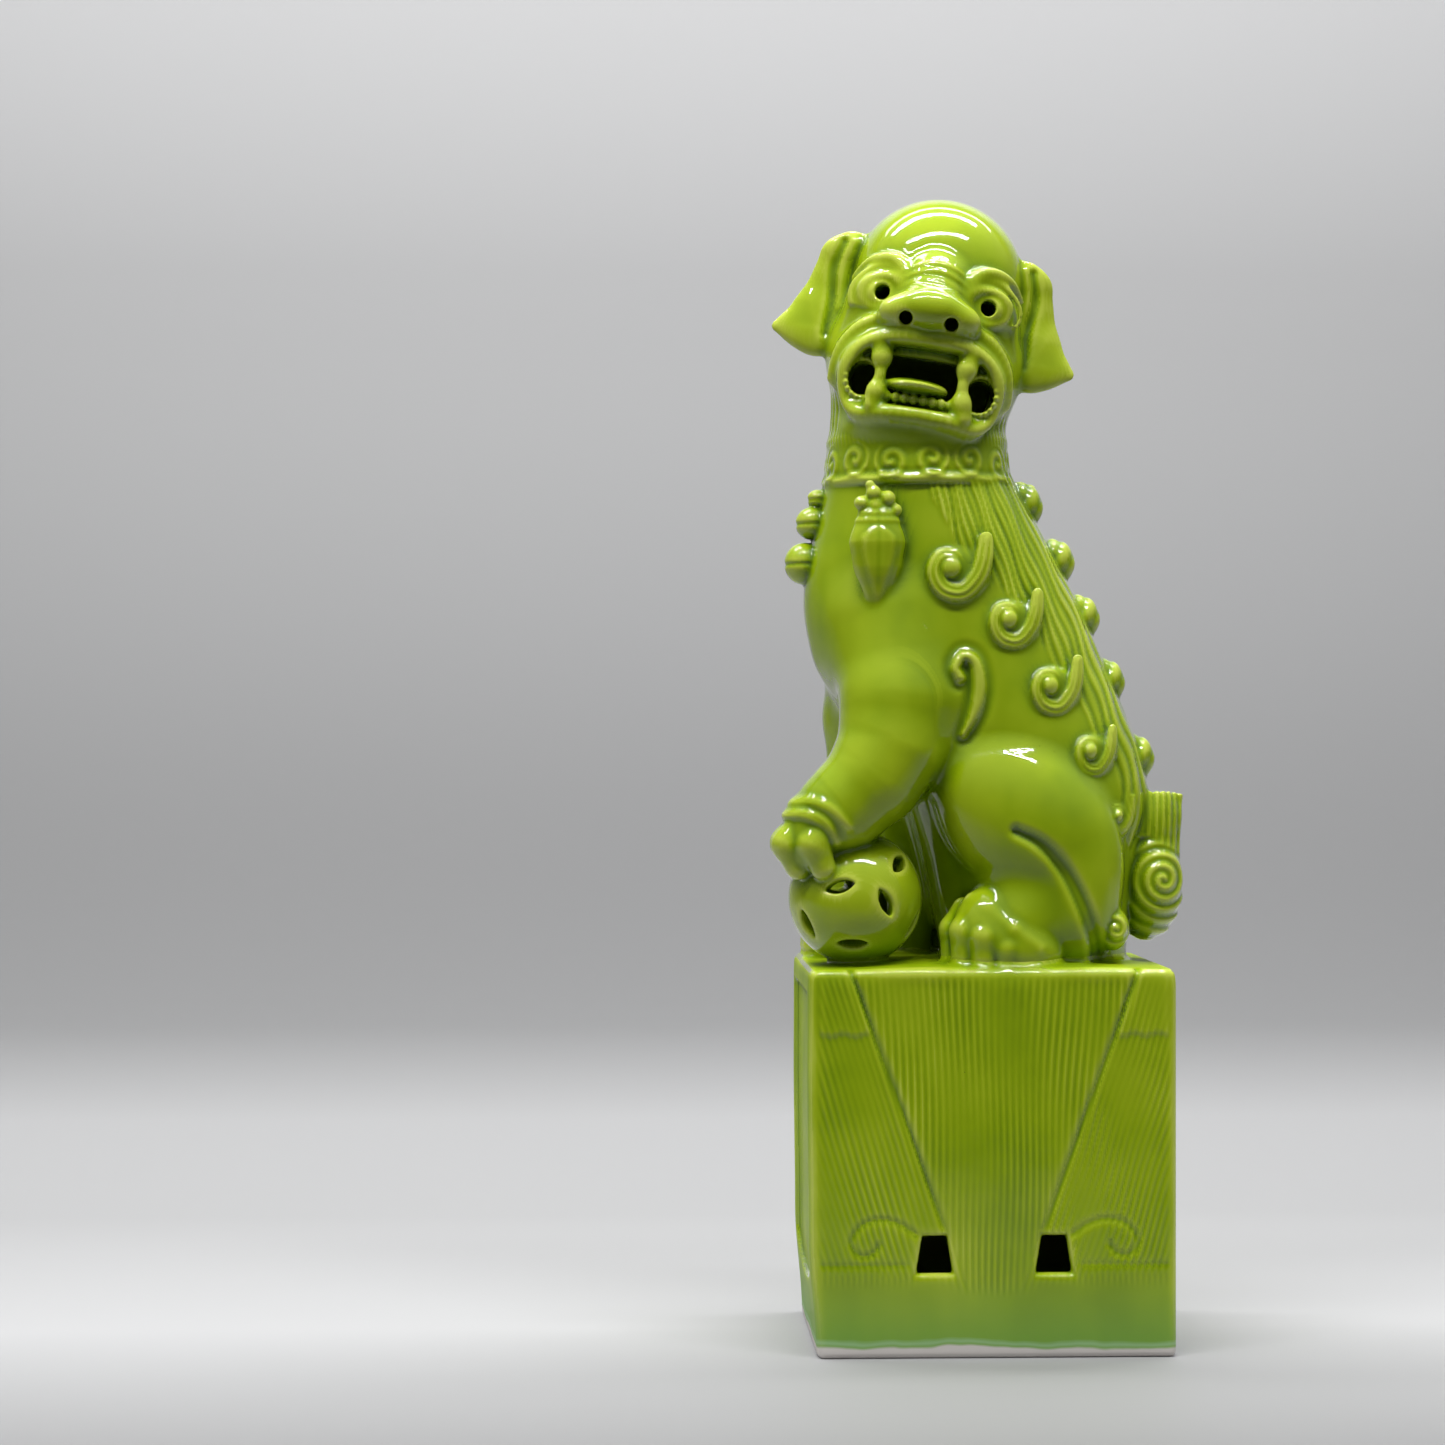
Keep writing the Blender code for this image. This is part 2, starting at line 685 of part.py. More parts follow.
def make_tail(torso_solid, *others):
    """The upright flame tail, curled against the rump."""
    bm = bmesh.new()
    add_ellipsoid(bm, (44.6, 0, 121), (9.4, 13.6, 15.5), None, 24, 16)
    add_ellipsoid(bm, (44.4, 0, 134), (6.2, 10.0, 12.0), rotation(y=4), 20, 12)
    flame = [((44, 0, 104), 4.8), ((44.6, 0, 120), 6.0), ((45.4, 0, 134), 4.8), ((48.2, 0, 140), 5.0), ((51.6, 0, 144), 2.4)]
    add_limb(bm, flame)
    tail = fuse(new_object("tail", bm), 2.6)
    stand_on_plinth(tail)
    return cut_clear_of(tail, torso_solid, *others)


# ---------------------------------------------------------------- assembly
def glaze_material(piece):
    """Each piece is dipped on its own, in the same apple green."""
    material = bpy.data.materials.new(piece.name + "_glaze")
    material.use_nodes = True
    shader = material.node_tree.nodes["Principled BSDF"]
    shader.inputs["Base Color"].default_value = GLAZE_GREEN
    shader.inputs["Roughness"].default_value = GLAZE_ROUGHNESS
    shader.inputs["Metallic"].default_value = 0.0
    return material


def world_box(objects):
    corners = [obj.matrix_world @ vert.co for obj in objects for vert in obj.data.vertices]
    low = Vector([min(c[k] for c in corners) for k in range(3)])
    high = Vector([max(c[k] for c in corners) for k in range(3)])
    return low, high


def assemble(pieces):
    """Turns millimetres into metres, centres each piece's origin and hangs all on one empty."""
    low, high = world_box(pieces)
    shift = Vector(((low.x + high.x) / 2, (low.y + high.y) / 2, low.z))
    statue = bpy.data.objects.new("statue", None)
    bpy.context.scene.collection.objects.link(statue)
    for piece in pieces:
        low, high = world_box([piece])
        middle = (low + high) / 2
        piece.data.transform(Matrix.Diagonal((MM, MM, MM, 1.0)) @ Matrix.Translation(-middle))
        piece.location = (middle - shift) * MM
        piece.parent = statue
        piece.data.materials.clear()
        piece.data.materials.append(glaze_material(piece))
        piece.data.shade_smooth()
        piece.data.set_sharp_from_angle(angle=math.radians(50))


def main():
    for obj in list(bpy.data.objects):
        bpy.data.objects.remove(obj)
    plinth = make_plinth()
    torso_solid = make_torso_solid()
    torso = make_torso()
    head_solid = make_head_mass("head_solid", 0.0, voxel=2.4)
    head = make_head(head_solid)
    tongue = make_tongue(head)
    collar = make_collar(head_solid)
    ball, ball_solid = make_ball()
    pieces = [plinth, torso, head, tongue, collar, ball]
    pieces += [make_ear(side, head_solid) for side in (-1, 1)]
    pieces += [make_fangs(side, head, tongue) for side in (-1, 1)]
    pieces += make_chest_beads(torso_solid, collar)
    pieces += make_spine_knobs(torso_solid, collar)
    left_foreleg = make_left_foreleg(torso_solid, ball_solid)
    right_foreleg = make_right_foreleg(torso_solid, ball_solid)
    pieces.append(make_tassel(-1, torso_solid, collar, left_foreleg))
    pieces.append(make_tassel(1, torso_solid, collar, right_foreleg))
    haunch = make_left_haunch(torso_solid)
    cut_clear_of(haunch, left_foreleg)
    paw = make_left_hind_paw(haunch, torso_solid)
    knob = make_left_rump_knob(haunch, torso_solid)
    hind_pieces = [haunch, paw, knob, *make_mane_curls(torso_solid)]
    hind_pieces += [mirrored(piece, piece.name.replace("left", "right")) for piece in hind_pieces]
    tail = make_tail(torso_solid, *hind_pieces)
    pieces += [left_foreleg, right_foreleg, *hind_pieces, tail]
    for helper in (torso_solid, head_solid, ball_solid):
        remove(helper)
    assemble(pieces)


main()
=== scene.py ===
"""Looks of the seated guardian lion on its draped plinth.

The lion is modelled as one signed distance field, so that its luted pieces flow into each other
under the glaze as they do on the real figure. Each point inside belongs to the piece it is
deepest in, and a surface net turns every piece into a closed mesh of its own that meets its
neighbours vertex to vertex. The plinth has a lattice of its own, finer along its combed face.

All shapes are in millimetres, about a point on the plinth's underside below the lion, with its
chest towards -X and its turned face towards -Y. The frame says where that point is.
"""

import math

import bpy
import numpy as np
from mathutils import Matrix, Vector


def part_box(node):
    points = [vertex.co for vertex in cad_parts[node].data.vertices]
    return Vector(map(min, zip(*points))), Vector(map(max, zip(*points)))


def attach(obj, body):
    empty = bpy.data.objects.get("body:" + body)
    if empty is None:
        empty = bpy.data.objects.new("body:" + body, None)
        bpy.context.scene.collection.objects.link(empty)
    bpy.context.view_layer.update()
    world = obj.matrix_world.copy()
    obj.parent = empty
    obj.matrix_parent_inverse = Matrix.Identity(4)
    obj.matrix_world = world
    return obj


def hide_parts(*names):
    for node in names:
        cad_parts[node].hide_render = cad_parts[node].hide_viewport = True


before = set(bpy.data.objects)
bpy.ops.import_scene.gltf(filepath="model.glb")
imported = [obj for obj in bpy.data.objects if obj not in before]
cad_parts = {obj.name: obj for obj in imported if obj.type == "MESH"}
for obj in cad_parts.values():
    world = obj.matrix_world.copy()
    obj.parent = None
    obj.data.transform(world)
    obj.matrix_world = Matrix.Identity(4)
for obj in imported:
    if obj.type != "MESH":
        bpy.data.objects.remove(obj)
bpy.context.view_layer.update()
PLINTH_LOW, PLINTH_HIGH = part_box("plinth_shell")
MM = 0.001

# ---- driving dimensions, in mm
PLINTH_X = -1.4  # the plinth stands this far towards the chest from the lion's x = 0
MIDDLE = np.array([(PLINTH_LOW[i] + PLINTH_HIGH[i]) / 2 for i in (0, 1)] + [PLINTH_LOW[2]])
MIDDLE[0] -= PLINTH_X * MM
HALF_WIDTH = (PLINTH_HIGH[0] - PLINTH_LOW[0]) / 2 / MM + 0.3
HALF_DEPTH = (PLINTH_HIGH[1] - PLINTH_LOW[1]) / 2 / MM
TOP = (PLINTH_HIGH[2] - PLINTH_LOW[2]) / MM
LION_STEP = 0.5
FAR = 8.0  # the field is only kept this far from a surface
SEAT = 99.2  # the lion's pieces stop here, just inside the plinth
SOFTENING = 0.12
TONE_REACHES = (1, 3)  # how far the fine and the broad tone look for ridges

TORSO_STATIONS = (  # height, foremost x, rearmost x, half thickness
    (92, -10, 37.5, 22), (101, -11.5, 38, 22), (115, -14, 39.4, 24), (130, -17, 41.4, 25),
    (145, -22, 44.3, 25.6), (155, -28.5, 42.2, 25.8), (165, -36, 38.8, 26), (172, -41, 35.9, 26),
    (179, -45.3, 32.6, 26), (187, -47.6, 29.4, 25.8), (196, -48.8, 25.3, 25.5), (206, -48, 20.4, 25),
    (214, -46.1, 16.1, 24.6), (221, -44.5, 12.2, 24), (228, -43.3, 8.2, 23.4), (236, -42, 5, 22.6),
)
NECK_X = -18.2
HEAD_CENTRE = np.array([-12.4, 1, 283.2])
HEAD_TURN = Matrix.Rotation(math.radians(-6), 3, "Z") @ Matrix.Rotation(math.radians(9.4), 3, "Y")
HEAD_TURN = np.array(HEAD_TURN @ Matrix.Rotation(math.radians(-3), 3, "X"))
BALL = np.array([-36, -15, 118.2])
BALL_RADIUS = 17.7
MANE_CURLS = (  # x, z and radius of each lock
    (-10.6, 203.4, 8.2), (4.6, 190.2, 7.2), (15.6, 172.8, 7.2), (26.2, 155.8, 6.2), (33.8, 139.2, 4.6),
)
SPINE_KNOBS = ((9.6, 222.8), (18.2, 207.8), (25, 192.8), (31.8, 175.6), (39.8, 155.2))


# ---- distances
def ease(value):
    """0 below 0 and 1 above 1, with a smooth step between."""
    value = np.clip(value, 0.0, 1.0)
    return value * value * (3 - 2 * value)


def join(a, b, k):
    """The smaller of two distances, with the crease between them filled to about k."""
    h = np.maximum(k - np.abs(a - b), 0.0)
    return np.minimum(a, b) - h * h / (4 * k)


def cut(a, b, k):
    """What is inside a and outside b, with an edge rounded to about k."""
    return -join(-a, b, k)


def ellipsoid(x, y, z, centre, radii, tilt=0):
    """tilt turns it about Y, in degrees."""
    x, y, z = x - centre[0], y - centre[1], z - centre[2]
    if tilt:
        c, s = math.cos(math.radians(tilt)), math.sin(math.radians(tilt))
        x, z = c * x - s * z, c * z + s * x
    a, b, c = radii
    k0 = np.sqrt((x / a) ** 2 + (y / b) ** 2 + (z / c) ** 2)
    k1 = np.sqrt((x / a**2) ** 2 + (y / b**2) ** 2 + (z / c**2) ** 2)
    return k0 * (k0 - 1) / np.maximum(k1, 1e-6)


def oval(x, y, a, b):
    k0 = np.sqrt((x / a) ** 2 + (y / b) ** 2)
    k1 = np.sqrt((x / a**2) ** 2 + (y / b**2) ** 2)
    return k0 * (k0 - 1) / np.maximum(k1, 1e-6)


def ridge(distance, width):
    """1 where a distance is 0, falling off as a bell over about that width."""
    return np.exp(-((distance / width) ** 2))


def lumps(x, y, z, rows, made=None):
    """Ellipsoids joined one after another. rows hold (centre, radii, tilt, k)."""
    for centre, radii, tilt, k in rows:
        lump = ellipsoid(x, y, z, centre, radii, tilt)
        made = lump if made is None else join(made, lump, k)
    return made


def limb(x, y, z, start, end, r0, r1):
    start, end = np.array(start, float), np.array(end, float)
    axis = end - start
    px, py, pz = x - start[0], y - start[1], z - start[2]
    t = np.clip((px * axis[0] + py * axis[1] + pz * axis[2]) / axis.dot(axis), 0, 1)
    far = np.sqrt((px - t * axis[0]) ** 2 + (py - t * axis[1]) ** 2 + (pz - t * axis[2]) ** 2)
    return far - (r0 + t * (r1 - r0))


def chain(x, y, z, joints, k=1):
    """Limbs from joint to joint. joints is a list of (x, y, z, radius)."""
    made = None
    for (*start, r0), (*end, r1) in zip(joints, joints[1:]):
        part = limb(x, y, z, start, end, r0, r1)
        made = part if made is None else join(made, part, k)
    return made


def box(x, y, z, low, high, rounding):
    qx = np.abs(x - (low[0] + high[0]) / 2) - (high[0] - low[0]) / 2 + rounding
    qy = np.abs(y - (low[1] + high[1]) / 2) - (high[1] - low[1]) / 2 + rounding
    qz = np.abs(z - (low[2] + high[2]) / 2) - (high[2] - low[2]) / 2 + rounding
    away = np.sqrt(np.maximum(qx, 0) ** 2 + np.maximum(qy, 0) ** 2 + np.maximum(qz, 0) ** 2)
    return away + np.minimum(np.maximum(np.maximum(qx, qy), qz), 0) - rounding


def path(x, z, points):
    """Distance to a line through points of (x, z, half width), less the half width there."""
    near = np.full(np.broadcast(x, z).shape, 1e9)
    for (ax, az, ra), (bx, bz, rb) in zip(points, points[1:]):
        ex, ez = bx - ax, bz - az
        t = np.clip(((x - ax) * ex + (z - az) * ez) / (ex * ex + ez * ez), 0, 1)
        far = np.sqrt((x - ax - t * ex) ** 2 + (z - az - t * ez) ** 2) - (ra + t * (rb - ra))
        near = np.minimum(near, far)
    return near


def curved(points, per_span=6):
    """A smooth line through the points, by Catmull-Rom."""
    points = [np.array(p, float) for p in points]
    padded = [2 * points[0] - points[1], *points, 2 * points[-1] - points[-2]]
    made = []
    for p0, p1, p2, p3 in zip(padded, padded[1:], padded[2:], padded[3:]):
        for i in range(per_span):
            t = i / per_span
            made.append(
                0.5 * (2 * p1 + (p2 - p0) * t + (2 * p0 - 5 * p1 + 4 * p2 - p3) * t**2
                       + (3 * p1 - p0 - 3 * p2 + p3) * t**3)
            )
    return [tuple(p) for p in made] + [tuple(points[-1])]


def spiral(x, z, radius, turn, start=0):
    """The height of a wound ridge, 0 to 1. Each turn comes in by turn, from start degrees."""
    r = np.sqrt(x * x + z * z)
    around = -np.arctan2(z, x) / (2 * np.pi) - start / 360
    wave = 0.5 + 0.5 * np.cos(2 * np.pi * ((radius - r) / turn - around))
    return wave * ease((radius * 1.12 - r) / (0.2 * radius))


# ---- the field on a lattice
class Field:
    """The distance to the nearest surface at every lattice point, and the piece it belongs to."""

    def __init__(self, low, high, step):
        self.step = np.array(step, float)
        self.low = np.array(low, float)
        shape = np.ceil((np.array(high) - self.low) / self.step).astype(int) + 1
        self.axes = [self.low[i] + self.step[i] * np.arange(shape[i]) for i in range(3)]
        self.value = np.full(shape, FAR, np.float32)
        self.nearest = np.full(shape, FAR, np.float32)
        self.label = np.zeros(shape, np.uint8)
        self.names = [None]

    def part(self, low, high):
        """The slices and the coordinates of the lattice inside a box."""
        slices, coordinates = [], []
        for i in range(3):
            first = int(np.searchsorted(self.axes[i], low[i]))
            last = int(np.searchsorted(self.axes[i], high[i]))
            slices.append(slice(first, last))
            shape = [1, 1, 1]
            shape[i] = last - first
            coordinates.append(self.axes[i][first:last].reshape(shape).astype(np.float32))
        return tuple(slices), coordinates

    def sampled(self, shape, low, high):
        slices, (x, y, z) = self.part(low, high)
        return slices, np.broadcast_to(shape(x, y, z), self.value[slices].shape).astype(np.float32)

    def add(self, name, distance, low, high, k=1):
        """Joins a piece to the rest. distance takes the x, y and z of the lattice."""
        if name not in self.names:
            self.names.append(name)
        slices, made = self.sampled(distance, low, high)
        self.value[slices] = join(self.value[slices], made, k)
        closer = made < self.nearest[slices]
        self.nearest[slices] = np.where(closer, made, self.nearest[slices])
        self.label[slices] = np.where(closer, self.names.index(name), self.label[slices])

    def carve(self, distance, low, high, k=0.6):
        slices, made = self.sampled(distance, low, high)
        self.value[slices] = cut(self.value[slices], made, k)

    def raise_by(self, height, low, high):
        """Lifts the surface by a height in mm, less where it is negative."""
        slices, made = self.sampled(height, low, high)
        self.value[slices] -= made

    def soften(self):
        """Rounds everything by about a lattice step, as a coat of glaze does."""
        for axis in range(3):
            value = np.moveaxis(self.value, axis, 0)
            value[1:-1] += SOFTENING * (value[:-2] + value[2:] - 2 * value[1:-1])

    def blurred(self, reach):
        """The field averaged over a cube of that half width: positive on ridges."""
        made = self.value
        for axis in range(3):
            n = max(1, int(round(reach / self.step[axis])))
            value = np.moveaxis(made, axis, 0)
            total = np.cumsum(value, axis=0, dtype=np.float32)
            padded = np.concatenate([np.zeros_like(total[:1]), total])
            count = len(value)
            upper = np.minimum(np.arange(count) + n + 1, count)
            lower = np.maximum(np.arange(count) - n, 0)
            width = (upper - lower)[:, None, None].astype(np.float32)
            mean = (padded[upper] - padded[lower]) / width
            made = np.moveaxis(mean, 0, axis)
        return made


CORNERS = [(i, j, k) for i in (0, 1) for j in (0, 1) for k in (0, 1)]
EDGES = [
    (a, b) for a in range(8) for b in range(a + 1, 8)
    if sum(p != q for p, q in zip(CORNERS[a], CORNERS[b])) == 1
]


def surface_net(field, scales):
    """Closed quads for every piece. Neighbours share the vertices where they meet."""
    label = np.where(field.value < 0, field.label, 0).astype(np.uint8)
    cells = tuple(n - 1 for n in label.shape)
    active = np.zeros(cells, bool)
    changes = []
    for axis in range(3):
        moved = np.moveaxis(label, axis, 0)
        change = np.moveaxis(moved[1:] != moved[:-1], 0, axis)
        changes.append(change)
        others = [i for i in range(3) if i != axis]
        for a in (0, 1):
            for b in (0, 1):
                window = [slice(None)] * 3
                window[others[0]] = slice(a, a + cells[others[0]])
                window[others[1]] = slice(b, b + cells[others[1]])
                active |= change[tuple(window)]
    at = np.argwhere(active)
    number = np.full(cells, -1, np.int32)
    number[active] = np.arange(len(at), dtype=np.int32)

    corner = [field.value[tuple((at + bits).T)] for bits in CORNERS]
    place = np.zeros((len(at), 3))
    count = np.zeros(len(at))
    for a, b in EDGES:
        crosses = (corner[a] < 0) != (corner[b] < 0)
        t = np.where(crosses, corner[a] / np.where(crosses, corner[a] - corner[b], 1), 0)
        start, end = np.array(CORNERS[a]), np.array(CORNERS[b])
        place += crosses[:, None] * (start + t[:, None] * (end - start))
        count += crosses
    place = np.where(count[:, None] > 0, place / np.maximum(count, 1)[:, None], 0.5)

    slope = np.zeros((len(at), 3))
    for axis in range(3):
        for bits, value in zip(CORNERS, corner):
            weight = np.ones(len(at))
            for other, bit in enumerate(bits):
                if other != axis:
                    weight = weight * (place[:, other] if bit else 1 - place[:, other])
            slope[:, axis] += weight * value * (1 if bits[axis] else -1)
        slope[:, axis] /= field.step[axis]
    slope /= np.maximum(np.linalg.norm(slope, axis=1), 1e-6)[:, None]

    tones = []
    for reach in scales:
        mean = field.blurred(reach)
        total = sum(mean[tuple((at + bits).T)] for bits in CORNERS)
        tones.append(((total - sum(corner)) / 8).astype(np.float32))
    points = field.low + (at + place) * field.step

    quads, owners, outside = [], [], []
    for axis in range(3):
        change = changes[axis]
        a, b = [(1, 2), (2, 0), (0, 1)][axis]
        p = np.argwhere(change)
        p = p[(p[:, a] > 0) & (p[:, b] > 0) & (p[:, a] < cells[a]) & (p[:, b] < cells[b])]
        low_label, high_label = label[tuple(p.T)], label[tuple((p + np.eye(3, dtype=int)[axis]).T)]
        ring = []
        for da, db in ((-1, -1), (0, -1), (0, 0), (-1, 0)):
            q = p.copy()
            q[:, a] += da
            q[:, b] += db
            ring.append(number[tuple(q.T)])
        ring = np.stack(ring, axis=1)
        sides = ((low_label, high_label, ring), (high_label, low_label, ring[:, ::-1]))
        for mine, other, order in sides:
            real = mine > 0
            quads.append(order[real])
            owners.append(mine[real])
            outside.append(other[real] == 0)
    quads, owners, outside = (np.concatenate(rows) for rows in (quads, owners, outside))
    made = {}
    for index, name in enumerate(field.names):
        mine = owners == index
        if index and mine.any():
            used, faces = np.unique(quads[mine], return_inverse=True)
            faces = faces.reshape(-1, 4)
            made[name] = (points[used], faces, slope[used], outside[mine], [t[used] for t in tones])
    return made


def new_object(name, data):
    obj = bpy.data.objects.new(name, data)
    bpy.context.scene.collection.objects.link(obj)
    return obj


def new_piece(name, points, faces, slope, outside, tones, material, replaced):
    """A mesh object in metres, with the field's slope as its shading normals."""
    mesh = bpy.data.meshes.new(name)
    mesh.vertices.add(len(points))
    mesh.vertices.foreach_set("co", ((points * MM + MIDDLE).astype(np.float32)).ravel())
    mesh.loops.add(faces.size)
    mesh.loops.foreach_set("vertex_index", faces.astype(np.int32).ravel())
    mesh.polygons.add(len(faces))
    mesh.polygons.foreach_set("loop_start", np.arange(0, faces.size, 4, dtype=np.int32))
    mesh.polygons.foreach_set("use_smooth", np.ones(len(faces), bool))
    mesh.update(calc_edges=True)
    across = points[faces[:, 2]] - points[faces[:, 0]]
    flat = np.cross(across, points[faces[:, 3]] - points[faces[:, 1]])
    flat /= np.maximum(np.linalg.norm(flat, axis=1), 1e-9)[:, None]
    normals = np.where(outside[:, None, None], slope[faces], flat[:, None, :]).reshape(-1, 3)
    mesh.normals_split_custom_set(normals.tolist())
    for key, tone in zip(("fine", "broad"), tones):
        attribute = mesh.attributes.new(key, "FLOAT", "POINT")
        attribute.data.foreach_set("value", tone)
    mesh.materials.append(material)
    obj = new_object(name, mesh)
    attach(obj, "root")
    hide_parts(replaced)


# ---- torso
def torso_section(z):
    """The torso's foremost x, rearmost x and half thickness at each height."""
    heights, *rows = np.array(TORSO_STATIONS).T
    fine = np.linspace(heights[0], heights[-1], 200)
    index = np.clip(np.searchsorted(heights, fine) - 1, 0, len(heights) - 2)
    h = heights[index + 1] - heights[index]
    t = (fine - heights[index]) / h
    made = []
    for row in rows:
        slopes = np.gradient(row, heights)
        p0, p1 = row[index], row[index + 1]
        m0, m1 = slopes[index] * h, slopes[index + 1] * h
        cubic = (2 * t**3 - 3 * t**2 + 1) * p0 + (t**3 - 2 * t**2 + t) * m0
        made.append(cubic + (3 * t**2 - 2 * t**3) * p1 + (t**3 - t**2) * m1)
    return [np.interp(z, fine, row) for row in made]


def torso(x, y, z):
    front, back, half = torso_section(z)
    middle, reach = (front + back) / 2, (back - front) / 2
    u, v = x - middle, np.broadcast_to(y, x.shape[:1] + y.shape[1:])
    return np.maximum(oval(u, v, reach, half) * 0.93, SEAT - z)


HAIR_EDGE = (  # height, and the x where the combed hair begins
    (120, 39), (131, 36.5), (137, 36.2), (141, 34.2), (146, 33.4), (152, 31.4), (156, 29.8), (159.5, 26.6),
    (166, 24.2), (171, 21.4), (174, 18.3), (177, 16.2), (184, 12.8), (189, 10.2), (192, 7.2), (194, 5.6),
    (199, 1.4), (203, -3.4), (206, -8.2), (211, -10.6), (218, -14), (226, -19), (240, -22),
)


def mane_height(x, y, z):
    """Combed strands down the back, on the hair side of a scalloped edge."""
    edge = np.interp(z, *zip(*HAIR_EDGE))
    _, back, _ = torso_section(z)
    strand = (back - x) / (1 + 0.0144 * np.clip(227 - z, 0, 120))
    sway = 0.3 * np.sin(z / 7) + 0.25 * np.sin(z / 3.1 + strand * 0.8)
    fine = np.abs(np.sin(np.pi * (strand + sway) / 1.55))
    broad = np.abs(np.sin(np.pi * (strand + 1.4 * sway) / 5.4))
    hair = ease((x - edge) / 1.2) * ease((back + 1 - x) / 3)
    return hair * (0.5 * fine + 0.4 * broad - 0.45)


SHOULDER_COMMA = curved([
    (-9.6, 176, 1.2), (-10.6, 178.8, 1.2), (-8.4, 181.8, 1.3), (-5.4, 179.8, 1.4),
    (-4.4, 173.6, 1.7), (-5.6, 167, 1.4), (-8.4, 161, 0.5),
])


def comma_height(x, y, z):
    near = path(x, z, SHOULDER_COMMA)
    return 1.25 * ease((1.0 - near) / 2.2) - 0.25 * ridge(near - 1.7, 1.1)


LOCK = curved([  # x, z and half width along a lock, in lock radii
    (1, 1.10, 0.22), (0.92, 0.45, 0.33), (0.70, -0.15, 0.37), (0.22, -0.62, 0.37), (-0.38, -0.52, 0.35),
    (-0.64, 0, 0.32), (-0.46, 0.46, 0.28), (-0.06, 0.50, 0.22), (0.05, 0.26, 0.14),
], 4)


def mane_curl(index):
    """A lock of hair that comes down on the right, turns under and winds in to a little knob."""
    cx, cz, radius = MANE_CURLS[index]
    front, back, half = (float(v) for v in torso_section(cz))
    reach = (back - front) / 2
    along = (cx - (front + back) / 2) / reach
    depth = half * math.sqrt(1 - along * along)
    slant = half * along / math.sqrt(1 - along * along) / reach
    flatten = math.cos(math.atan(slant))
    line = [(radius * a, radius * b, radius * r) for a, b, r in LOCK]

    def distance(x, y, z):
        u, w = (x - cx) / flatten, z - cz
        out = (depth - slant * (x - cx) + y) * flatten
        lock = chain(u, (out - 0.2) / 0.8, w, [(a, 0, b, r) for a, b, r in line], 0.2) * 0.85
        near = path(u, w, [(a, b, 0) for a, b, _ in line])
        lock = lock - 0.2 * np.cos(2 * np.pi * near / (0.21 * radius))
        boss = ellipsoid(u, out, w, (0, 1.2, 0), (radius * 0.86, 2.2, radius * 0.86))
        centre, radii = (-0.16 * radius, -0.9, 0.16 * radius), (0.34 * radius, 1.7, 0.34 * radius)
        return join(join(lock, boss, 0.8), ellipsoid(u, out, w, centre, radii), 0.5)

    reach = radius * 1.5 + 2
    return distance, (cx - reach, -depth - 7, cz - reach), (cx + reach, 9 - depth, cz + reach)


# ---- limbs
WRIST_FOLDS = (
    [(-55, 143.6, 0.1), (-49, 144, 0.3), (-43.5, 141.6, 0.3), (-39, 137, 0.1)],
    [(-58, 140, 0.1), (-51, 140.6, 0.4), (-45.5, 138, 0.4), (-42, 133, 0.1)],
)


def left_foreleg(x, y, z):
    arm = chain(
        x, y, z,
        [(-27, -12, 191, 14.2), (-25.5, -18.3, 170, 14), (-27, -20.5, 158, 13.2), (-31.5, -22, 149.8, 12),
         (-40, -22.2, 141.8, 10.8), (-46.2, -22.4, 137.6, 9.2)],
        4,
    )
    upper, lower = (path(x, z, curved(fold)) for fold in WRIST_FOLDS)
    arm = arm - 0.7 * ridge(upper, 1.2) - 0.9 * ridge(lower, 1.2)
    made = join(arm, ellipsoid(x, y, z, (-48.4, -22.4, 132.6), (7.4, 9.4, 8.6), tilt=14), 2)
    for kx, ky in ((-48, -28.8), (-54.2, -25.2), (-54.2, -19), (-49, -14.8)):
        toe = [(kx + 2.6, ky, 137.6, 3.4), (kx + 0.2, ky, 132.6, 4.5), (kx + 2.6, ky, 126.6, 3.4)]
        made = join(made, chain(x, y, z, toe, 1.5), 0.6)
    return made


def right_foreleg(x, y, z):
    """The far leg, with a web of clay that closes the gap between it and the belly."""
    made = chain(
        x, y, z,
        [(-29, 14, 188, 13), (-31, 17.5, 166, 10.6), (-32.6, 18.6, 145, 8.6), (-34.5, 19, 122, 7.9),
         (-36, 19, 109, 8)],
        4,
    )
    web = chain(x, y, z, [(-26, 16, 166, 9.2), (-23.5, 15, 140, 9.2), (-22.5, 14, 98, 9.2)], 3)
    made = join(join(made, web, 4), ellipsoid(x, y, z, (-38, 19, 106.4), (9, 8.6, 7.4)), 2.5)
    for ky in (13, 17, 21.2, 25):
        toe = chain(x, y, z, [(-40.5, ky, 109.5, 2.8), (-44.4, ky, 106.2, 3.2), (-45.4, ky, 103.4, 2.8)], 1.5)
        made = join(made, toe, 0.7)
    return np.maximum(made, SEAT - z)


HAUNCH_CREASE = curved([
    (4.6, 136.2, 0.1), (11.2, 132.6, 0.5), (17.6, 125.4, 0.7),
    (22.6, 115.6, 0.8), (26.4, 104.6, 0.8), (27.5, 98, 0.8),
])


HAUNCH = (
    ((9.6, -18, 138), (20.2, 15.6, 28.6), -45, 0),
    ((21, -16.5, 118), (13.2, 14.6, 19.5), 0, 5),
    ((7, -17, 112), (13.4, 14.4, 17), 0, 5),
)


def left_haunch(x, y, z):
    made = lumps(x, y, z, HAUNCH)
    crease = path(x, z, HAUNCH_CREASE)
    return np.maximum(made + 1.4 * ridge(np.maximum(crease, 0), 1.35), SEAT - z)


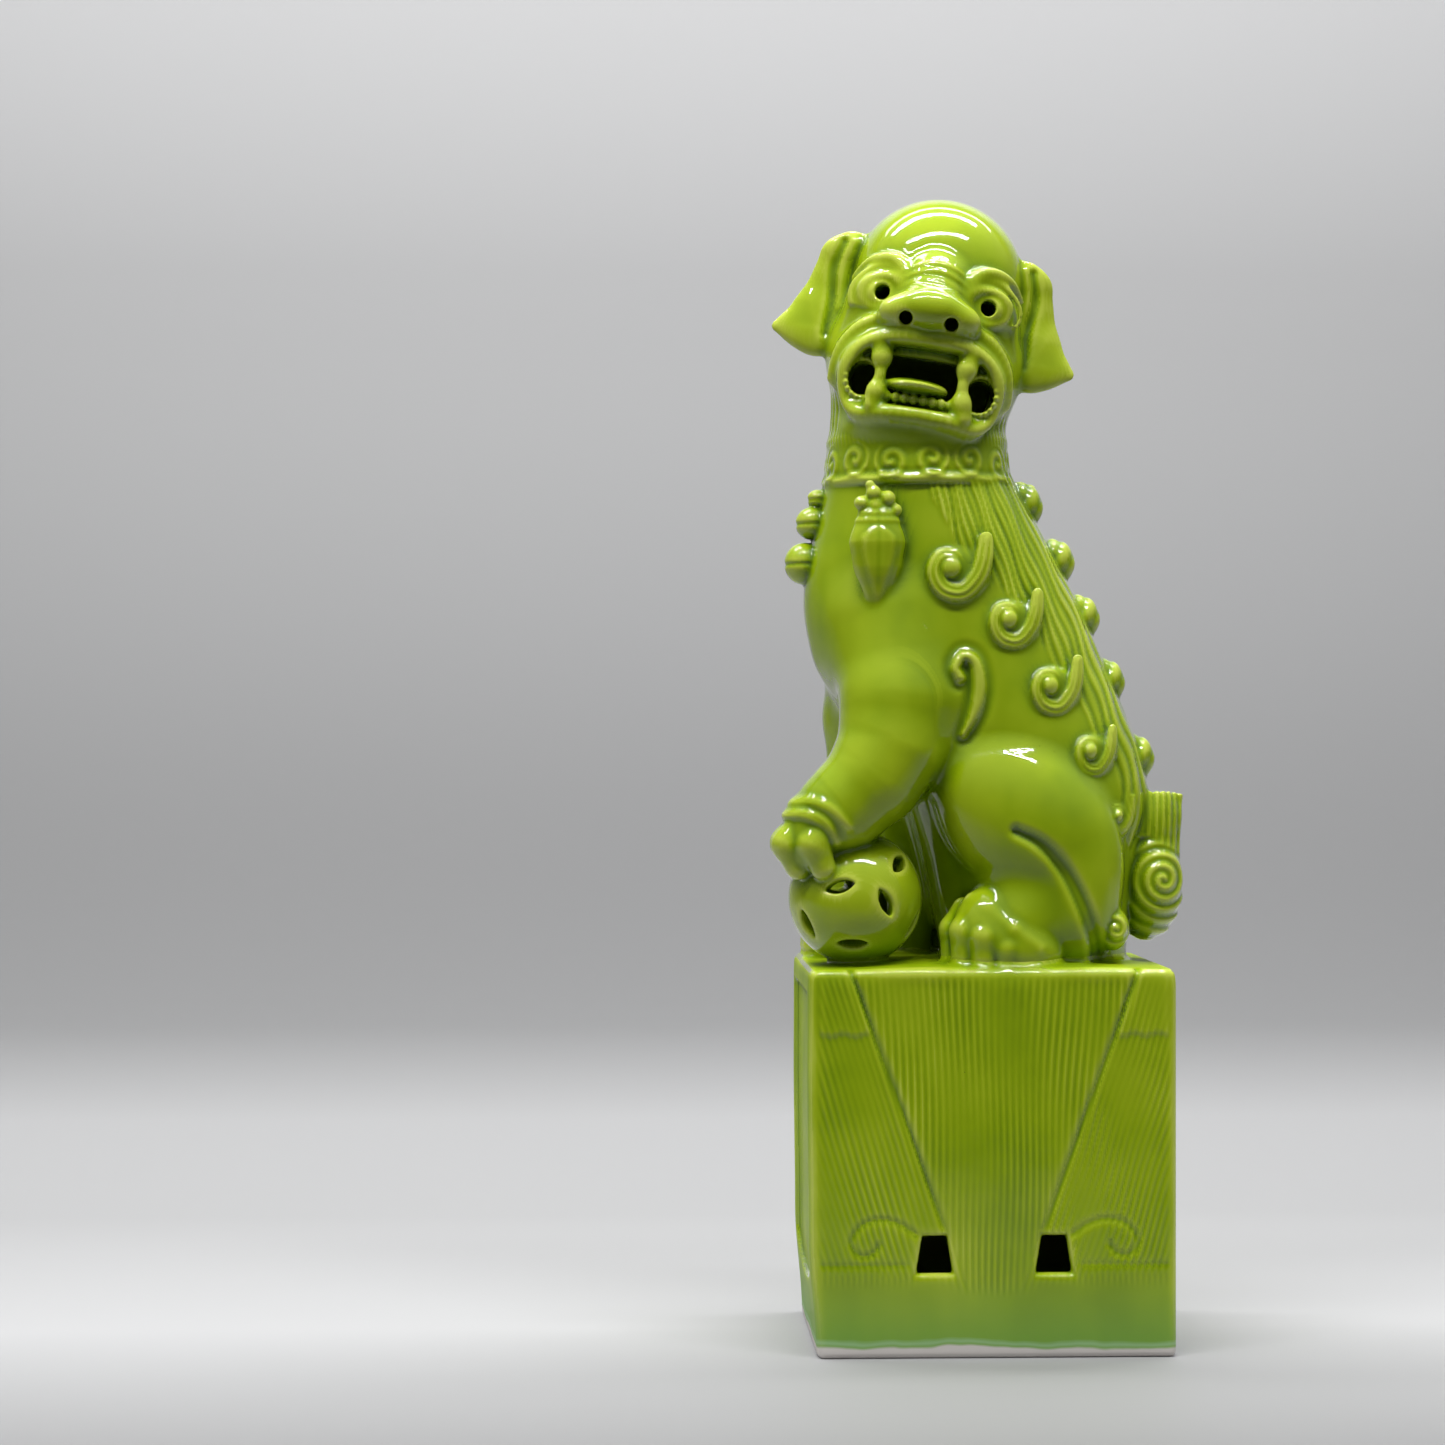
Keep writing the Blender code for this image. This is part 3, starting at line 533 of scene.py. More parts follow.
def left_hind_paw(x, y, z):
    made = ellipsoid(x, y, z, (-3, -23.6, 109.6), (8.4, 8.4, 12), tilt=10)
    made = join(made, ellipsoid(x, y, z, (4.5, -25.2, 106), (13.4, 8, 8.6), tilt=18), 3)
    toes = (
        [(-7.8, -19.6, 115.5, 3), (-10.6, -20.8, 110, 3.6), (-10.4, -21, 103.8, 3.6)],
        [(-6, -24.8, 115.5, 3.1), (-8.2, -26.4, 109.8, 3.9), (-8.2, -26.4, 103.6, 3.7)],
        [(-2, -27, 113.4, 3), (-3.6, -29.2, 108.6, 3.9), (-3.6, -29.2, 103.4, 3.6)],
        [(3.4, -27.8, 109.6, 2.8), (2.2, -29.6, 105.6, 3.7), (2, -29.6, 102.4, 3.2)],
    )
    for toe in toes:
        made = join(made, chain(x, y, z, toe, 1.5), 0.5)
    fold = [
        (-6.4, -24.8, 118, 1.3), (-2.5, -28.4, 115.4, 1.7), (4, -31, 110.6, 1.7), (10.4, -30.8, 105.6, 1.2),
    ]
    return np.maximum(join(made, chain(x, y, z, fold, 1), 1.6), SEAT - z)


def left_rump_knob(x, y, z):
    made = ellipsoid(x, y, z, (31.4, -20.4, 110.2), (4.6, 6.2, 6.2))
    return made - 0.7 * (spiral(x - 31.4, z - 110.2, 4.4, 2.5, 90) - 0.4)


def mirrored(distance):
    return lambda x, y, z: distance(x, -y, z)


def tail(x, y, z):
    """A wound bulb below, and combed strands that rise to a point."""
    made = ellipsoid(x, y, z, (44, 0, 121.4), (9.6, 13.6, 15.5))
    made = join(made, ellipsoid(x, y, z, (43.6, 0, 136), (8.4, 10, 16), tilt=4), 2)
    flame = [(45.4, 0, 122, 7), (47, 0, 133, 5.4), (48.6, 0, 139, 4.6), (51.8, 0, 144.8, 2.2)]
    made = join(made, chain(x, y, z, flame, 2), 2)
    made = np.maximum(made, z - 146.0 + 0.02 * (x - 47) ** 2)
    sx, sz = x - 46.4, z - 122.6
    around = np.sqrt(sx**2 + sz**2)
    wound = 0.5 + 0.5 * np.cos(2 * np.pi * (around / 3.0 - np.arctan2(sz, sx) / (2 * np.pi)))
    strand = np.abs(np.sin(np.pi * (x - 0.06 * (z - 131)) / 1.9))
    upper = ease((z - 130.5 + 0.5 * (x - 47)) / 2.5)
    relief = 0.6 * (wound - 0.5) * (1 - upper) + 0.45 * (strand - 0.5) * upper
    made = made - relief * ease((z - 102) / 4)
    return np.maximum(made, SEAT - z)


# ---- sprigs
def spine_knob(index):
    """A shell-like knob with ridges that open away from the spine."""
    cx, cz = SPINE_KNOBS[index]

    def distance(x, y, z):
        made = ellipsoid(x, y, z, (cx, 0, cz), (6.2, 6.4, 6.2), tilt=28)
        made = join(made, ellipsoid(x, y, z, (cx - 1.2, 0, cz - 4.4), (4.4, 4.6, 5), tilt=28), 2.5)
        ring = np.sqrt((x - cx + 4.2) ** 2 + 0.6 * y**2 + (z - cz - 3.2) ** 2)
        return made - 0.55 * (np.abs(np.sin(np.pi * (ring - 0.6) / 3.1)) ** 0.8 - 0.6)

    return distance, (cx - 11, -10, cz - 13), (cx + 10, 10, cz + 10)


TASSEL_KNOTS = (
    (-4.2, 221.6, 2), (-1, 224.2, 2.1), (2.6, 222.8, 2.2),
    (4.8, 219.8, 1.7), (-0.6, 221, 2.1), (-2, 226.4, 1.3),
)


def tassel(x, y, z):
    """A pointed leaf under a cluster of little knots, on the near shoulder."""
    flat = 0.62
    base = -24.4
    px, py = x + 30.9, (y - base) / flat
    stem = [(0, 0, 217.5, 4.8), (0, 0, 211.5, 6.7), (0, 0, 205, 5.6), (0, 0, 198.6, 2.9), (0, 0, 192.8, 0.6)]
    made = chain(px, py, z, stem, 3) * flat
    width = 4.4 * ease((z - 192) / 19) * ease((217 - z) / 5)
    leaf = np.abs(px) - width
    made = made - 0.4 * ease((0.8 - leaf) / 1.6) * ease((216.5 - z) / 2)
    made = made + 0.15 * ridge(px, 0.5)
    made = made - 0.35 * ridge(z - 217.2, 0.8) - 0.3 * ridge(z - 219, 0.7)
    for kx, kz, r in TASSEL_KNOTS:
        made = join(made, ellipsoid(px, y, z, (kx, base - 0.5, kz), (r, r, r)), 0.7)
    return made


CHEST_BEADS = (
    ("chest_bead_top", (-44.9, 0, 224.6), (3, 3.2, 2.6)),
    ("chest_bell_small", (-46.5, 0, 218), (4.5, 4.8, 4.5)),
    ("chest_bell_large", (-48.7, 0, 207.2), (5.3, 5.8, 5.7)),
)


def bell(centre, radii):
    def distance(x, y, z):
        made = ellipsoid(x, y, z, centre, radii)
        return made + 0.5 * ridge(z - centre[2] + 0.3, 0.45)

    return distance


# ---- head
def to_head(x, y, z):
    """Across to the viewer's right, depth away from the viewer and up, about the skull's centre."""
    x, y, z = x - HEAD_CENTRE[0], y - HEAD_CENTRE[1], z - HEAD_CENTRE[2]
    turn = HEAD_TURN.astype(np.float32)
    return tuple(turn[0, i] * x + turn[1, i] * y + turn[2, i] * z for i in range(3))


def on_head(shape):
    """A shape in the skull's own axes, made to take the statue's."""
    return lambda x, y, z: shape(*to_head(x, y, z))


def head_point(across, depth, up):
    return tuple(HEAD_TURN @ np.array([across, depth, up], float) + HEAD_CENTRE)


LIPS = curved([  # half of the mouth's rim, round from the upper lip's middle to the lower lip's
    (0, -26.4, -20.2, 1), (7.5, -25.7, -20.2, 1), (14.2, -23.2, -22.2, 1.1), (18.8, -19.8, -26.8, 1.1),
    (20.2, -17.8, -33, 1), (19, -17.8, -38.2, 1.2), (15.2, -20.6, -41.4, 1.5), (8.5, -24.2, -40.8, 1.8),
    (0, -25.4, -40.4, 1.9),
], 4)
BROW = curved([
    (8.4, -19.8, -5.4, 0.6), (8.8, -20.2, -1.8, 0.9), (11.4, -19.2, 0.7, 1.1), (15.4, -16.6, 1.2, 1.1),
    (19.4, -12.4, 0, 0.9), (22.6, -7.5, -3.4, 0.6),
], 4)
MUZZLE_FOLD = curved([
    (12.6, -22, -15.8, 0.5), (17.6, -18.6, -18.4, 0.9), (21.6, -14.6, -24, 0.9), (23.4, -11.4, -32, 0.5),
], 4)
SKULL = (((0, 2, 0), (23, 22.7, 22.4), 0, 0), ((0, 1, -21), (26.8, 22.6, 22), 0, 7))
FACE = (
    ((0, -9.5, -9), (22, 12.2, 11), 0, 6),
    ((0, -12, -28.5), (22.8, 16.2, 14), 0, 5),
    ((0, -10.5, -44.5), (17.5, 13.4, 6), 0, 4),
)
MOUTH_U = 0.6  # the mouth and eyes sit a little to the viewer's right on the skull


def head_mass(x, y, z):
    u, v, w = to_head(x, y, z)
    made = lumps(u, v, w, SKULL)
    neck = [(*head_point(0, 1, -26), 22.8), (NECK_X, 0, 243, 22), (NECK_X, 0, 226, 22.4)]
    made = join(made, chain(x, y, z, neck, 5), 6)
    made = lumps(u, v, w, FACE, made)
    made = join(made, chain(np.abs(u), v, w, MUZZLE_FOLD, 0.5), 4.5)
    made = join(made, chain(np.abs(u - MOUTH_U), v, w, LIPS, 0.5), 4)
    made = join(made, nose(u, v, w), 2.6)
    made = join(made, eyes(np.abs(u - MOUTH_U), v, w), 1.6)
    return made


def nose(u, v, w):
    """The broad bulb with its wings, and a wrinkled bridge that runs up into the forehead."""
    bridge = ellipsoid(u, v, w, (0, -18.4, -5), (8.4, 8, 9.4))
    for up in (-4.6, -2.2, 0.2):
        bridge = bridge - 0.28 * ridge(w - up + 0.035 * u * u, 0.8)
    made = join(ellipsoid(u, v, w, (0, -26, -12.6), (9, 6.8, 5.8)), bridge, 5)
    return join(made, ellipsoid(np.abs(u), v, w, (8.6, -24.6, -14.2), (4.9, 4.8, 4)), 3.4)


def eyes(a, v, w):
    """Eyeball, a heavy upper lid, the folds below and a brow with a hooked inner end."""
    made = ellipsoid(a, v, w, (14.2, -15.8, -8.7), (4.7, 4.6, 4.4))
    ring = np.sqrt(((a - 14.2) / 1.25) ** 2 + (w + 8.6) ** 2)
    upper = ease((w + 10.5) / 5)
    lid = np.sqrt((ring - 4.4) ** 2 + (v + 19.2 - 0.45 * (a - 14.2)) ** 2) - (0.45 + 0.5 * upper)
    made = join(made, lid, 1.5)
    fold = np.sqrt((ring - 7) ** 2 + (v + 17.8 - 0.5 * (a - 14.2)) ** 2) - 0.45
    made = join(made, np.maximum(fold, -9.5 - w - 0.3 * (a - 14)), 3)
    return join(made, chain(a, v, w, BROW, 0.6), 3.8)


@on_head
def mane_on_head(u, v, w):
    """Combed hair on the neck's sides and over the back of the skull."""
    around = np.arctan2(u, v + 4)
    strand = np.abs(np.sin(around * 22 + 0.5 * np.sin(w / 5))) ** 0.7
    back = ease((v - 5) / 6) * ease((14 - w) / 6)
    neck = ease((v + 13) / 6) * ease((-33 - w) / 6)
    return (0.55 * strand - 0.25) * np.maximum(back, neck)


@on_head
def mouth_recess(u, v, w):
    u = u - MOUTH_U
    shape = ((np.abs(u) / 17.8) ** 3 + (np.abs(w + 30.4) / 7.9) ** 3) ** (1 / 3)
    bowl = (shape - 1) * 7.9
    return np.maximum(bowl, v + 20.6 - 0.02 * u * u)


@on_head
def mouth_holes(u, v, w):
    a = np.abs(u - MOUTH_U)
    middle = np.maximum(a - 9.9, np.abs(w + 30.2) - 5.6)
    side = (np.sqrt(((a - 15.6) / 3.9) ** 2 + ((w + 32.2) / 4.9) ** 2) - 1) * 3.9
    return np.maximum(np.minimum(middle, side), v + 2)


@on_head
def head_hollow(u, v, w):
    made = ellipsoid(u, v, w, (0, 0, -29), (18.6, 16.5, 13.5))
    return join(made, ellipsoid(u, v, w, (0, 0, -8), (17, 15, 14)), 4)


@on_head
def eye_holes(u, v, w):
    a = np.abs(u - MOUTH_U)
    eye = np.sqrt((a - 14.2 + 0.12 * (v + 20)) ** 2 + (w + 8.7) ** 2) - 2.05
    nostril = np.sqrt((np.abs(u) - 6) ** 2 + (w + 16.4 - 0.2 * (v + 30)) ** 2) - 1.75
    return np.minimum(np.maximum(eye, v + 6), np.maximum(nostril, v + 12))


EAR_BODY = [
    (20, 0, 3.2, 4.6), (24, 0, 3.4, 4.7), (27, 0, 1.6, 4.7), (28, 0, -5, 5.2), (29.6, 0, -12.5, 6.4),
    (29.4, 0, -19, 7.4),
]
EAR_TIP = [(31, 0, -16.5, 6), (36.5, 0, -18.6, 3.6), (40.6, 0, -19.4, 1.5)]
EAR_GROOVE = curved([(26.2, 5.4, 0.1), (28, -2, 0.3), (27.2, -10, 0.3), (27.4, -20, 0.1)])
EAR_ROLL = curved([(23.6, 5.4, 0.2), (25, -2, 0.5), (24.2, -12, 0.3)])


def ear(side):
    """A thick drooping flap, swollen in the middle, with a fold along its root."""
    lift, reach = (1.2, 1.01) if side < 0 else (0.2, 0.955)
    flat = 0.52

    def distance(u, v, w):
        a, w = u * side / reach, w - lift
        sheet = (v - 0.6 - 0.08 * (a - 24) + 0.006 * (w + 8) ** 2) / flat
        body = join(chain(a, sheet, w, EAR_BODY, 3), chain(a, sheet, w, EAR_TIP, 3), 5) * 0.7
        groove = 0.9 * ridge(np.maximum(path(a, w, EAR_GROOVE), 0), 1.1)
        roll = 0.8 * ridge(np.maximum(path(a, w, EAR_ROLL), 0), 1.4)
        return body + ease((1.5 - sheet) / 2) * (groove - roll)

    corner = [head_point(side * a, v, w) for a in (13, 46) for v in (-9, 11) for w in (-31, 16)]
    return on_head(distance), np.min(corner, axis=0) - 1, np.max(corner, axis=0) + 1


@on_head
def tongue(u, v, w):
    made = ellipsoid(u, v, w, (-0.6, -19.8, -32.8), (8.9, 9.4, 2.3))
    made = made + 0.4 * ridge(w + 31.6 + 0.02 * u * u, 0.6)
    root = ellipsoid(u, v, w, (0, -15.5, -38.5), (7.5, 4, 6))
    return join(made, root, 2)


FANG = [
    (11.6, -22.4, -22.6, 3), (11.2, -23.2, -26.6, 2.6), (10.9, -23.8, -31, 1.2), (11.2, -23.2, -35.4, 2.6),
    (11.6, -22.4, -39, 3.1),
]


def fangs(side):
    """An upper and a lower tooth, run together point to point."""
    return on_head(lambda u, v, w: chain((u - MOUTH_U) * side, v, w, FANG, 1.2))


@on_head
def small_teeth(u, v, w):
    """Rows of little teeth along the lower gum and round the side openings."""
    a = np.abs(u - MOUTH_U)
    made = None
    for i in range(4):
        tooth = ellipsoid(a, v, w, (1.25 + 2.35 * i, -24.4 + 0.12 * i * i, -36.4), (1.25, 1.2, 1.5))
        made = tooth if made is None else join(made, tooth, 0.3)
    for degrees in range(-160, 150, 20):
        angle = math.radians(degrees)
        at = (15.6 + 4.3 * math.cos(angle), -19.4, -32.0 + 5.2 * math.sin(angle))
        made = join(made, ellipsoid(a, v, w, at, (0.8, 1.4, 0.8)), 0.3)
    return made


def collar(x, y, z):
    """A band of hanging scrolls with a soft scalloped rim, and hair combed down into it."""
    px = x - NECK_X
    grow = 1.0 + np.interp(z, [226, 228.4, 231, 236, 240, 244], [0.5, 0.8, 0.2, -0.2, -0.4, -1.7])
    around = oval(px, y, 23.6 + grow, 23.1 + grow)
    arc = np.arctan2(px, -y) * 25
    pitch = 2 * np.pi * 25.0 / 14
    cell = np.round(arc / pitch - 0.15) + 0.15
    sx = arc - cell * pitch
    sense = np.where(np.mod(np.round(cell - 0.15), 2) == 0, 1.0, -1.0)
    height = 233.4 + 0.5 * np.sin(cell * 2.3)
    wound = spiral(sx * sense, z - height, 4.7, 3.4, 20)
    hair = np.abs(np.sin(np.pi * arc / 1.7 + 0.4 * np.sin(z))) * ease((z - 236.5) / 3)
    low = z - 228.7 - 0.3 * np.cos(2 * np.pi * sx / pitch)
    rim = 0.3 * ridge(low, 0.9) - 0.25 * ridge(low - 1.8, 0.8)
    relief = 0.45 * (wound - 0.25) + 0.3 * hair + rim
    return np.maximum(around - relief, np.maximum(227.2 - z, z - 243.5))


# ---- ball
NEAR_SLOTS = (  # the way out of the ball, and the slot's turn from level in degrees
    ((-0.31, -0.93, 0.21), 15),
    ((0.40, -0.92, -0.04), -62),
    ((0.63, -0.56, 0.54), 30),
    ((-0.77, -0.52, -0.38), -78),
    ((-0.10, -0.73, -0.67), 0),
    ((0.84, -0.35, -0.42), 75),
    ((-0.70, -0.35, 0.62), 60),
)


def ball(x, y, z):
    px, py, pz = x - BALL[0], y - BALL[1], z - BALL[2]
    r = np.sqrt(px**2 + py**2 + pz**2)
    made = np.maximum(r - BALL_RADIUS, BALL_RADIUS - 4.2 - r)
    far_slots = tuple(((sx, -sy, sz), -turn) for (sx, sy, sz), turn in NEAR_SLOTS)
    for out, turn in NEAR_SLOTS + far_slots:
        out = np.array(out) / np.linalg.norm(out)
        side = np.cross((0, 0, 1), out)
        side /= np.linalg.norm(side)
        if out[1] > 0:
            side = -side
        up = np.cross(out, side)
        up = up if up[2] > 0 else -up
        c, s = math.cos(math.radians(turn)), math.sin(math.radians(turn))
        long, short = c * side + s * up, c * up - s * side
        p = px * long[0] + py * long[1] + pz * long[2]
        q = px * short[0] + py * short[1] + pz * short[2]
        depth = px * out[0] + py * out[1] + pz * out[2]
        lens = np.sqrt(p**2 + (np.abs(q) + 4.1) ** 2) - 5.8
        made = cut(made, np.maximum(lens, -depth), 0.7)
    return made


# ---- lion
def belly_hollow(x, y, z):
    """Over the plinth's vent, as the inside of a cast body."""
    return ellipsoid(x, y, z, (12, 0, 96), (14, 13, 34))


def add_pair(field, name, distance, low, high, k):
    """Adds the near one of a pair, on the lion's left, and its mirror image."""
    field.add("left_" + name, distance, low, high, k)
    far_low, far_high = (low[0], -high[1], low[2]), (high[0], -low[1], high[2])
    field.add("right_" + name, mirrored(distance), far_low, far_high, k)


def build_lion():
    field = Field((-62, -39, 95), (58, 39, 309), (LION_STEP,) * 3)
    field.add("torso_shell", torso, (-54, -30, 95), (52, 30, 234), 1)
    field.raise_by(mane_height, (-22, -30, 118), (52, 30, 230))
    field.add("left_foreleg", left_foreleg, (-62, -39, 116), (-2, 6, 214), 7.5)
    field.add("right_foreleg", right_foreleg, (-54, -2, 95), (-8, 39, 212), 7.5)
    for near, far in ((-39, -8), (8, 39)):
        field.raise_by(comma_height, (-16, near, 154), (2, far, 190))
    add_pair(field, "haunch", left_haunch, (-22, -39, 95), (44, 0, 172), 2.6)
    add_pair(field, "hind_paw", left_hind_paw, (-22, -39, 95), (26, -8, 126), 1.4)
    add_pair(field, "rump_knob", left_rump_knob, (22, -32, 100), (42, -8, 120), 0.8)
    for index in range(len(MANE_CURLS)):
        add_pair(field, f"mane_curl_{index + 1}", *mane_curl(index), 0.9)
    field.add("tail", tail, (32, -20, 95), (58, 20, 152), 1.4)
    for index in range(len(SPINE_KNOBS)):
        field.add(f"spine_knob_{index + 1}", *spine_knob(index), 0.9)
    build_head(field)
    add_pair(field, "tassel", tassel, (-42, -34, 190), (-18, -14, 231), 0.9)
    for name, centre, radii in CHEST_BEADS:
        c = np.array(centre)
        field.add(name, bell(centre, radii), c - 9, c + 9, 0.8)
    field.add("pierced_ball", ball, (-58, -39, 95), (-12, 9, 142), 1.2)
    field.carve(belly_hollow, (-4, -15, 95), (30, 15, 134), 0.3)
    field.soften()
    return field


def build_head(field):
    low, high = (-62, -40, 222), (40, 32, 309)
    field.add("head_shell", head_mass, low, high, 2)
    field.raise_by(mane_on_head, (-50, -24, 228), (22, 32, 306))
    field.add("neck_collar", collar, (-50, -32, 224), (14, 32, 247), 0.8)
    for side, name in ((-1, "right_ear"), (1, "left_ear")):
        field.add(name, *ear(side), 1.6)
    for hollow, k in ((mouth_recess, 1.6), (head_hollow, 0.5), (mouth_holes, 0.9), (eye_holes, 0.5)):
        field.carve(hollow, (-44, -40, 232), (20, 24, 304), k)
    field.add("head_shell", small_teeth, (-40, -36, 236), (14, -8, 262), 0.3)
    field.add("tongue", tongue, (-32, -36, 232), (8, 2, 262), 0.6)
    for side, name in ((-1, "right_fangs"), (1, "left_fangs")):
        field.add(name, fangs(side), (-34, -36, 236), (8, -8, 270), 0.7)


# ---- plinth
WINDOW_X, WINDOW_SILL, WINDOW_TOP = 15.5, 21.8, 31.5
FOLD_TOP, FOLD_FOOT = (36.6, 98.5), (12.6, 32.6)
SCROLL = curved([
    (20.4, 32, 0.1), (24.2, 34.6, 0.1), (29, 36, 0.1), (34.4, 34.6, 0.1),
    (37.2, 30.2, 0.1), (35, 26.8, 0.1), (31.6, 27.2, 0.1), (30, 29.4, 0.1),
])


def drape_height(x, z):
    """The combed cloth on the plinth's face: a middle flap between two slanting folds."""
    a = np.abs(x)
    slope = (FOLD_TOP[0] - FOLD_FOOT[0]) / (FOLD_TOP[1] - FOLD_FOOT[1])
    across = (a - (FOLD_FOOT[0] + slope * (z - FOLD_FOOT[1]))) / math.sqrt(1 + slope**2)
    below = ease((z - 24) / 26)
    flap = 0.45 * ease(-across / 2) * below
    fold = 0.45 * ridge(across - 0.1, 0.6) * ease((z - 30) / 4)
    band = 18.5 - 3.0 * np.cos(np.pi * np.clip(x / 34, -1, 1))
    comb = ease((z - band) / 2.5) * ease((TOP - 2.0 - z) / 2)
    lines = np.sin(2 * np.pi * (x * (1 + 0.0022 * (60 - z)) + 0.4 * np.sin(z / 11 + x / 9)) / 1.75)
    slanted = np.sin(2 * np.pi * (a - 0.85 * slope * (z - 60) + 0.3 * np.sin(z / 8 + x / 5)) / 1.75)
    inside = ease(-across / 1)
    worn = np.clip(0.62 + 0.5 * np.sin(x * 0.23 + 1.3 + z * 0.03) * np.sin(z * 0.09 + x * 0.05), 0.15, 1.0)
    combed = 0.19 * comb * worn * (lines * inside + 1.15 * slanted * (1 - inside))
    tuck = 0.4 * ease((z - 83.0 + 0.4 * np.sin(x)) / 1.4) * ease(across / 1.2)
    dashes = 0.12 * np.sin(2 * np.pi * x / 1.5) * ridge(z - 20.5, 1.6) * ease((a - 18) / 4)
    hem = 0.22 * ridge(z - 24.2, 0.7) * ease((a - 21) / 3)
    scroll = 0.42 * ridge(np.maximum(path(a, z, SCROLL), 0), 0.75)
    return flap - fold + combed + tuck + dashes - hem - scroll


def plinth(x, y, z):
    """x is measured from the plinth's own middle."""
    left = ease((-x - 20) / 26)
    lean = left * (1.8 * ease((30 - z) / 30) - 0.5 * ease((z - 30) / 50))
    made = box(x - lean, y, z, (-HALF_WIDTH, -HALF_DEPTH, -0.6), (HALF_WIDTH, HALF_DEPTH, TOP), 2)
    made = np.maximum(made, -0.4 - z)
    face = ease((np.abs(y) - HALF_DEPTH + 4) / 2)
    drape = drape_height(x, z) * face * ease((HALF_WIDTH - 1.5 - np.abs(x)) / 2)
    made = made - drape * 0.9 + 0.3 * face
    panel = panel_depth(y, z) * ease((np.abs(x) - HALF_WIDTH + 5) / 2)
    dome = (1 - np.clip(x / 44, -1, 1) ** 2) * (1 - np.clip(y / 33, -1, 1) ** 2)
    crown = 1.1 * dome * ease((z - TOP + 6) / 3)
    sag = 0.18 * np.sin(x / 19 + 0.6) * ease((z - 4) / 30) * ease((90 - z) / 30)
    edge = 0.25 * np.sin(x / 7.0 + 1) * ease((z - TOP + 5) / 4)
    return made + panel - crown + sag + edge


def panel_depth(y, z):
    """A sunk panel in each end, with an arched foot."""
    half = HALF_DEPTH - 7
    foot = 17 + 9 * (1 - np.sqrt(np.clip(1 - (y / half) ** 2, 0, 1)))
    inside = np.minimum(half - np.abs(y), np.minimum(z - foot, TOP - 7 - z))
    return 1.2 * ease((inside + 0.8) / 1.6)


def window_shape(x, z):
    a = np.abs(x) - WINDOW_X
    middle = (WINDOW_SILL + WINDOW_TOP) / 2
    half = 4.8 - 1.6 * (z - WINDOW_SILL) / (WINDOW_TOP - WINDOW_SILL)
    return np.maximum(np.abs(a) - half, np.abs(z - middle) - (WINDOW_TOP - WINDOW_SILL) / 2)


def vent(x, y, z):
    return np.maximum(np.sqrt((x - 13) ** 2 + y**2) - 12, 90 - z)


def build_plinth():
    step = ((0.44, 0.9, 0.8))
    low, high = (-52, -39, -3), (50, 39, TOP + 8)
    field = Field(low, high, step)
    field.add("plinth_shell", lambda x, y, z: plinth(x - PLINTH_X, y, z), low, high, 1)
    inside = (PLINTH_X - 41.8, -30.5, -20), (PLINTH_X + 41.8, 30.5, TOP - 4.5)
    field.carve(lambda x, y, z: box(x, y, z, *inside, 1.5), low, high, 0.4)
    field.carve(lambda x, y, z: window_shape(x - PLINTH_X, z) + 0 * y, (-30, -39, 16), (28, 39, 38), 1)
    field.carve(vent, (-2, -16, 88), (28, 16, TOP + 8), 0.4)
    fillet(field)
    field.soften()
    return field


def fillet(field):
    """Glaze pooled where the lion and the ball stand on the plinth."""
    slices, (x, y, z) = field.part((-50, -38, TOP - 4), (50, 38, TOP + 8))
    standing = join(torso(x, y, z), left_haunch(x, y, z), 2)
    for part in (mirrored(left_haunch), left_hind_paw, mirrored(left_hind_paw), right_foreleg, tail):
        standing = join(standing, part(x, y, z), 1)
    from_ball = np.sqrt((x - BALL[0]) ** 2 + (y - BALL[1]) ** 2 + (z - BALL[2]) ** 2)
    standing = join(standing, from_ball - BALL_RADIUS, 1)
    here = field.value[slices]
    met = join(here, standing + 0.25, 3.4)
    met = np.maximum(met, -(standing + 1.2))
    met = np.maximum(met, z - TOP - 5)
    raised = np.maximum(met, -np.abs(here) - 9)
    field.value[slices] = np.where(np.minimum(here, met) == here, here, raised).astype(np.float32)
    field.label[slices] = 1


# ---- glaze
GLAZE_TONES = (  # from thin to pooled
    (0.0, (0.46, 0.55, 0.05, 1)),
    (0.22, (0.34, 0.45, 0.010, 1)),
    (0.46, (0.26, 0.375, 0.003, 1)),
    (0.72, (0.18, 0.285, 0.002, 1)),
    (1.0, (0.085, 0.16, 0.002, 1)),
)
FOOT_GREEN = (0.115, 0.31, 0.035, 1)
FOOT_EDGE = (0.35, 0.55, 0.33, 1)
BARE_CLAY = (0.62, 0.58, 0.55, 1)
PINHOLE = (0.03, 0.045, 0.01, 1)


def set_inputs(node, values):
    for name, value in values.items():
        node.inputs[name].default_value = value


def ramped(tree, value, stops):
    """A colour ramp through stops of (position, colour)."""
    ramp = tree.nodes.new("ShaderNodeValToRGB")
    tree.links.new(value, ramp.inputs[0])
    while len(ramp.color_ramp.elements) < len(stops):
        ramp.color_ramp.elements.new(0.5)
    for element, (at, colour) in zip(ramp.color_ramp.elements, stops):
        element.position, element.color = at, colour
    return ramp.outputs["Color"]


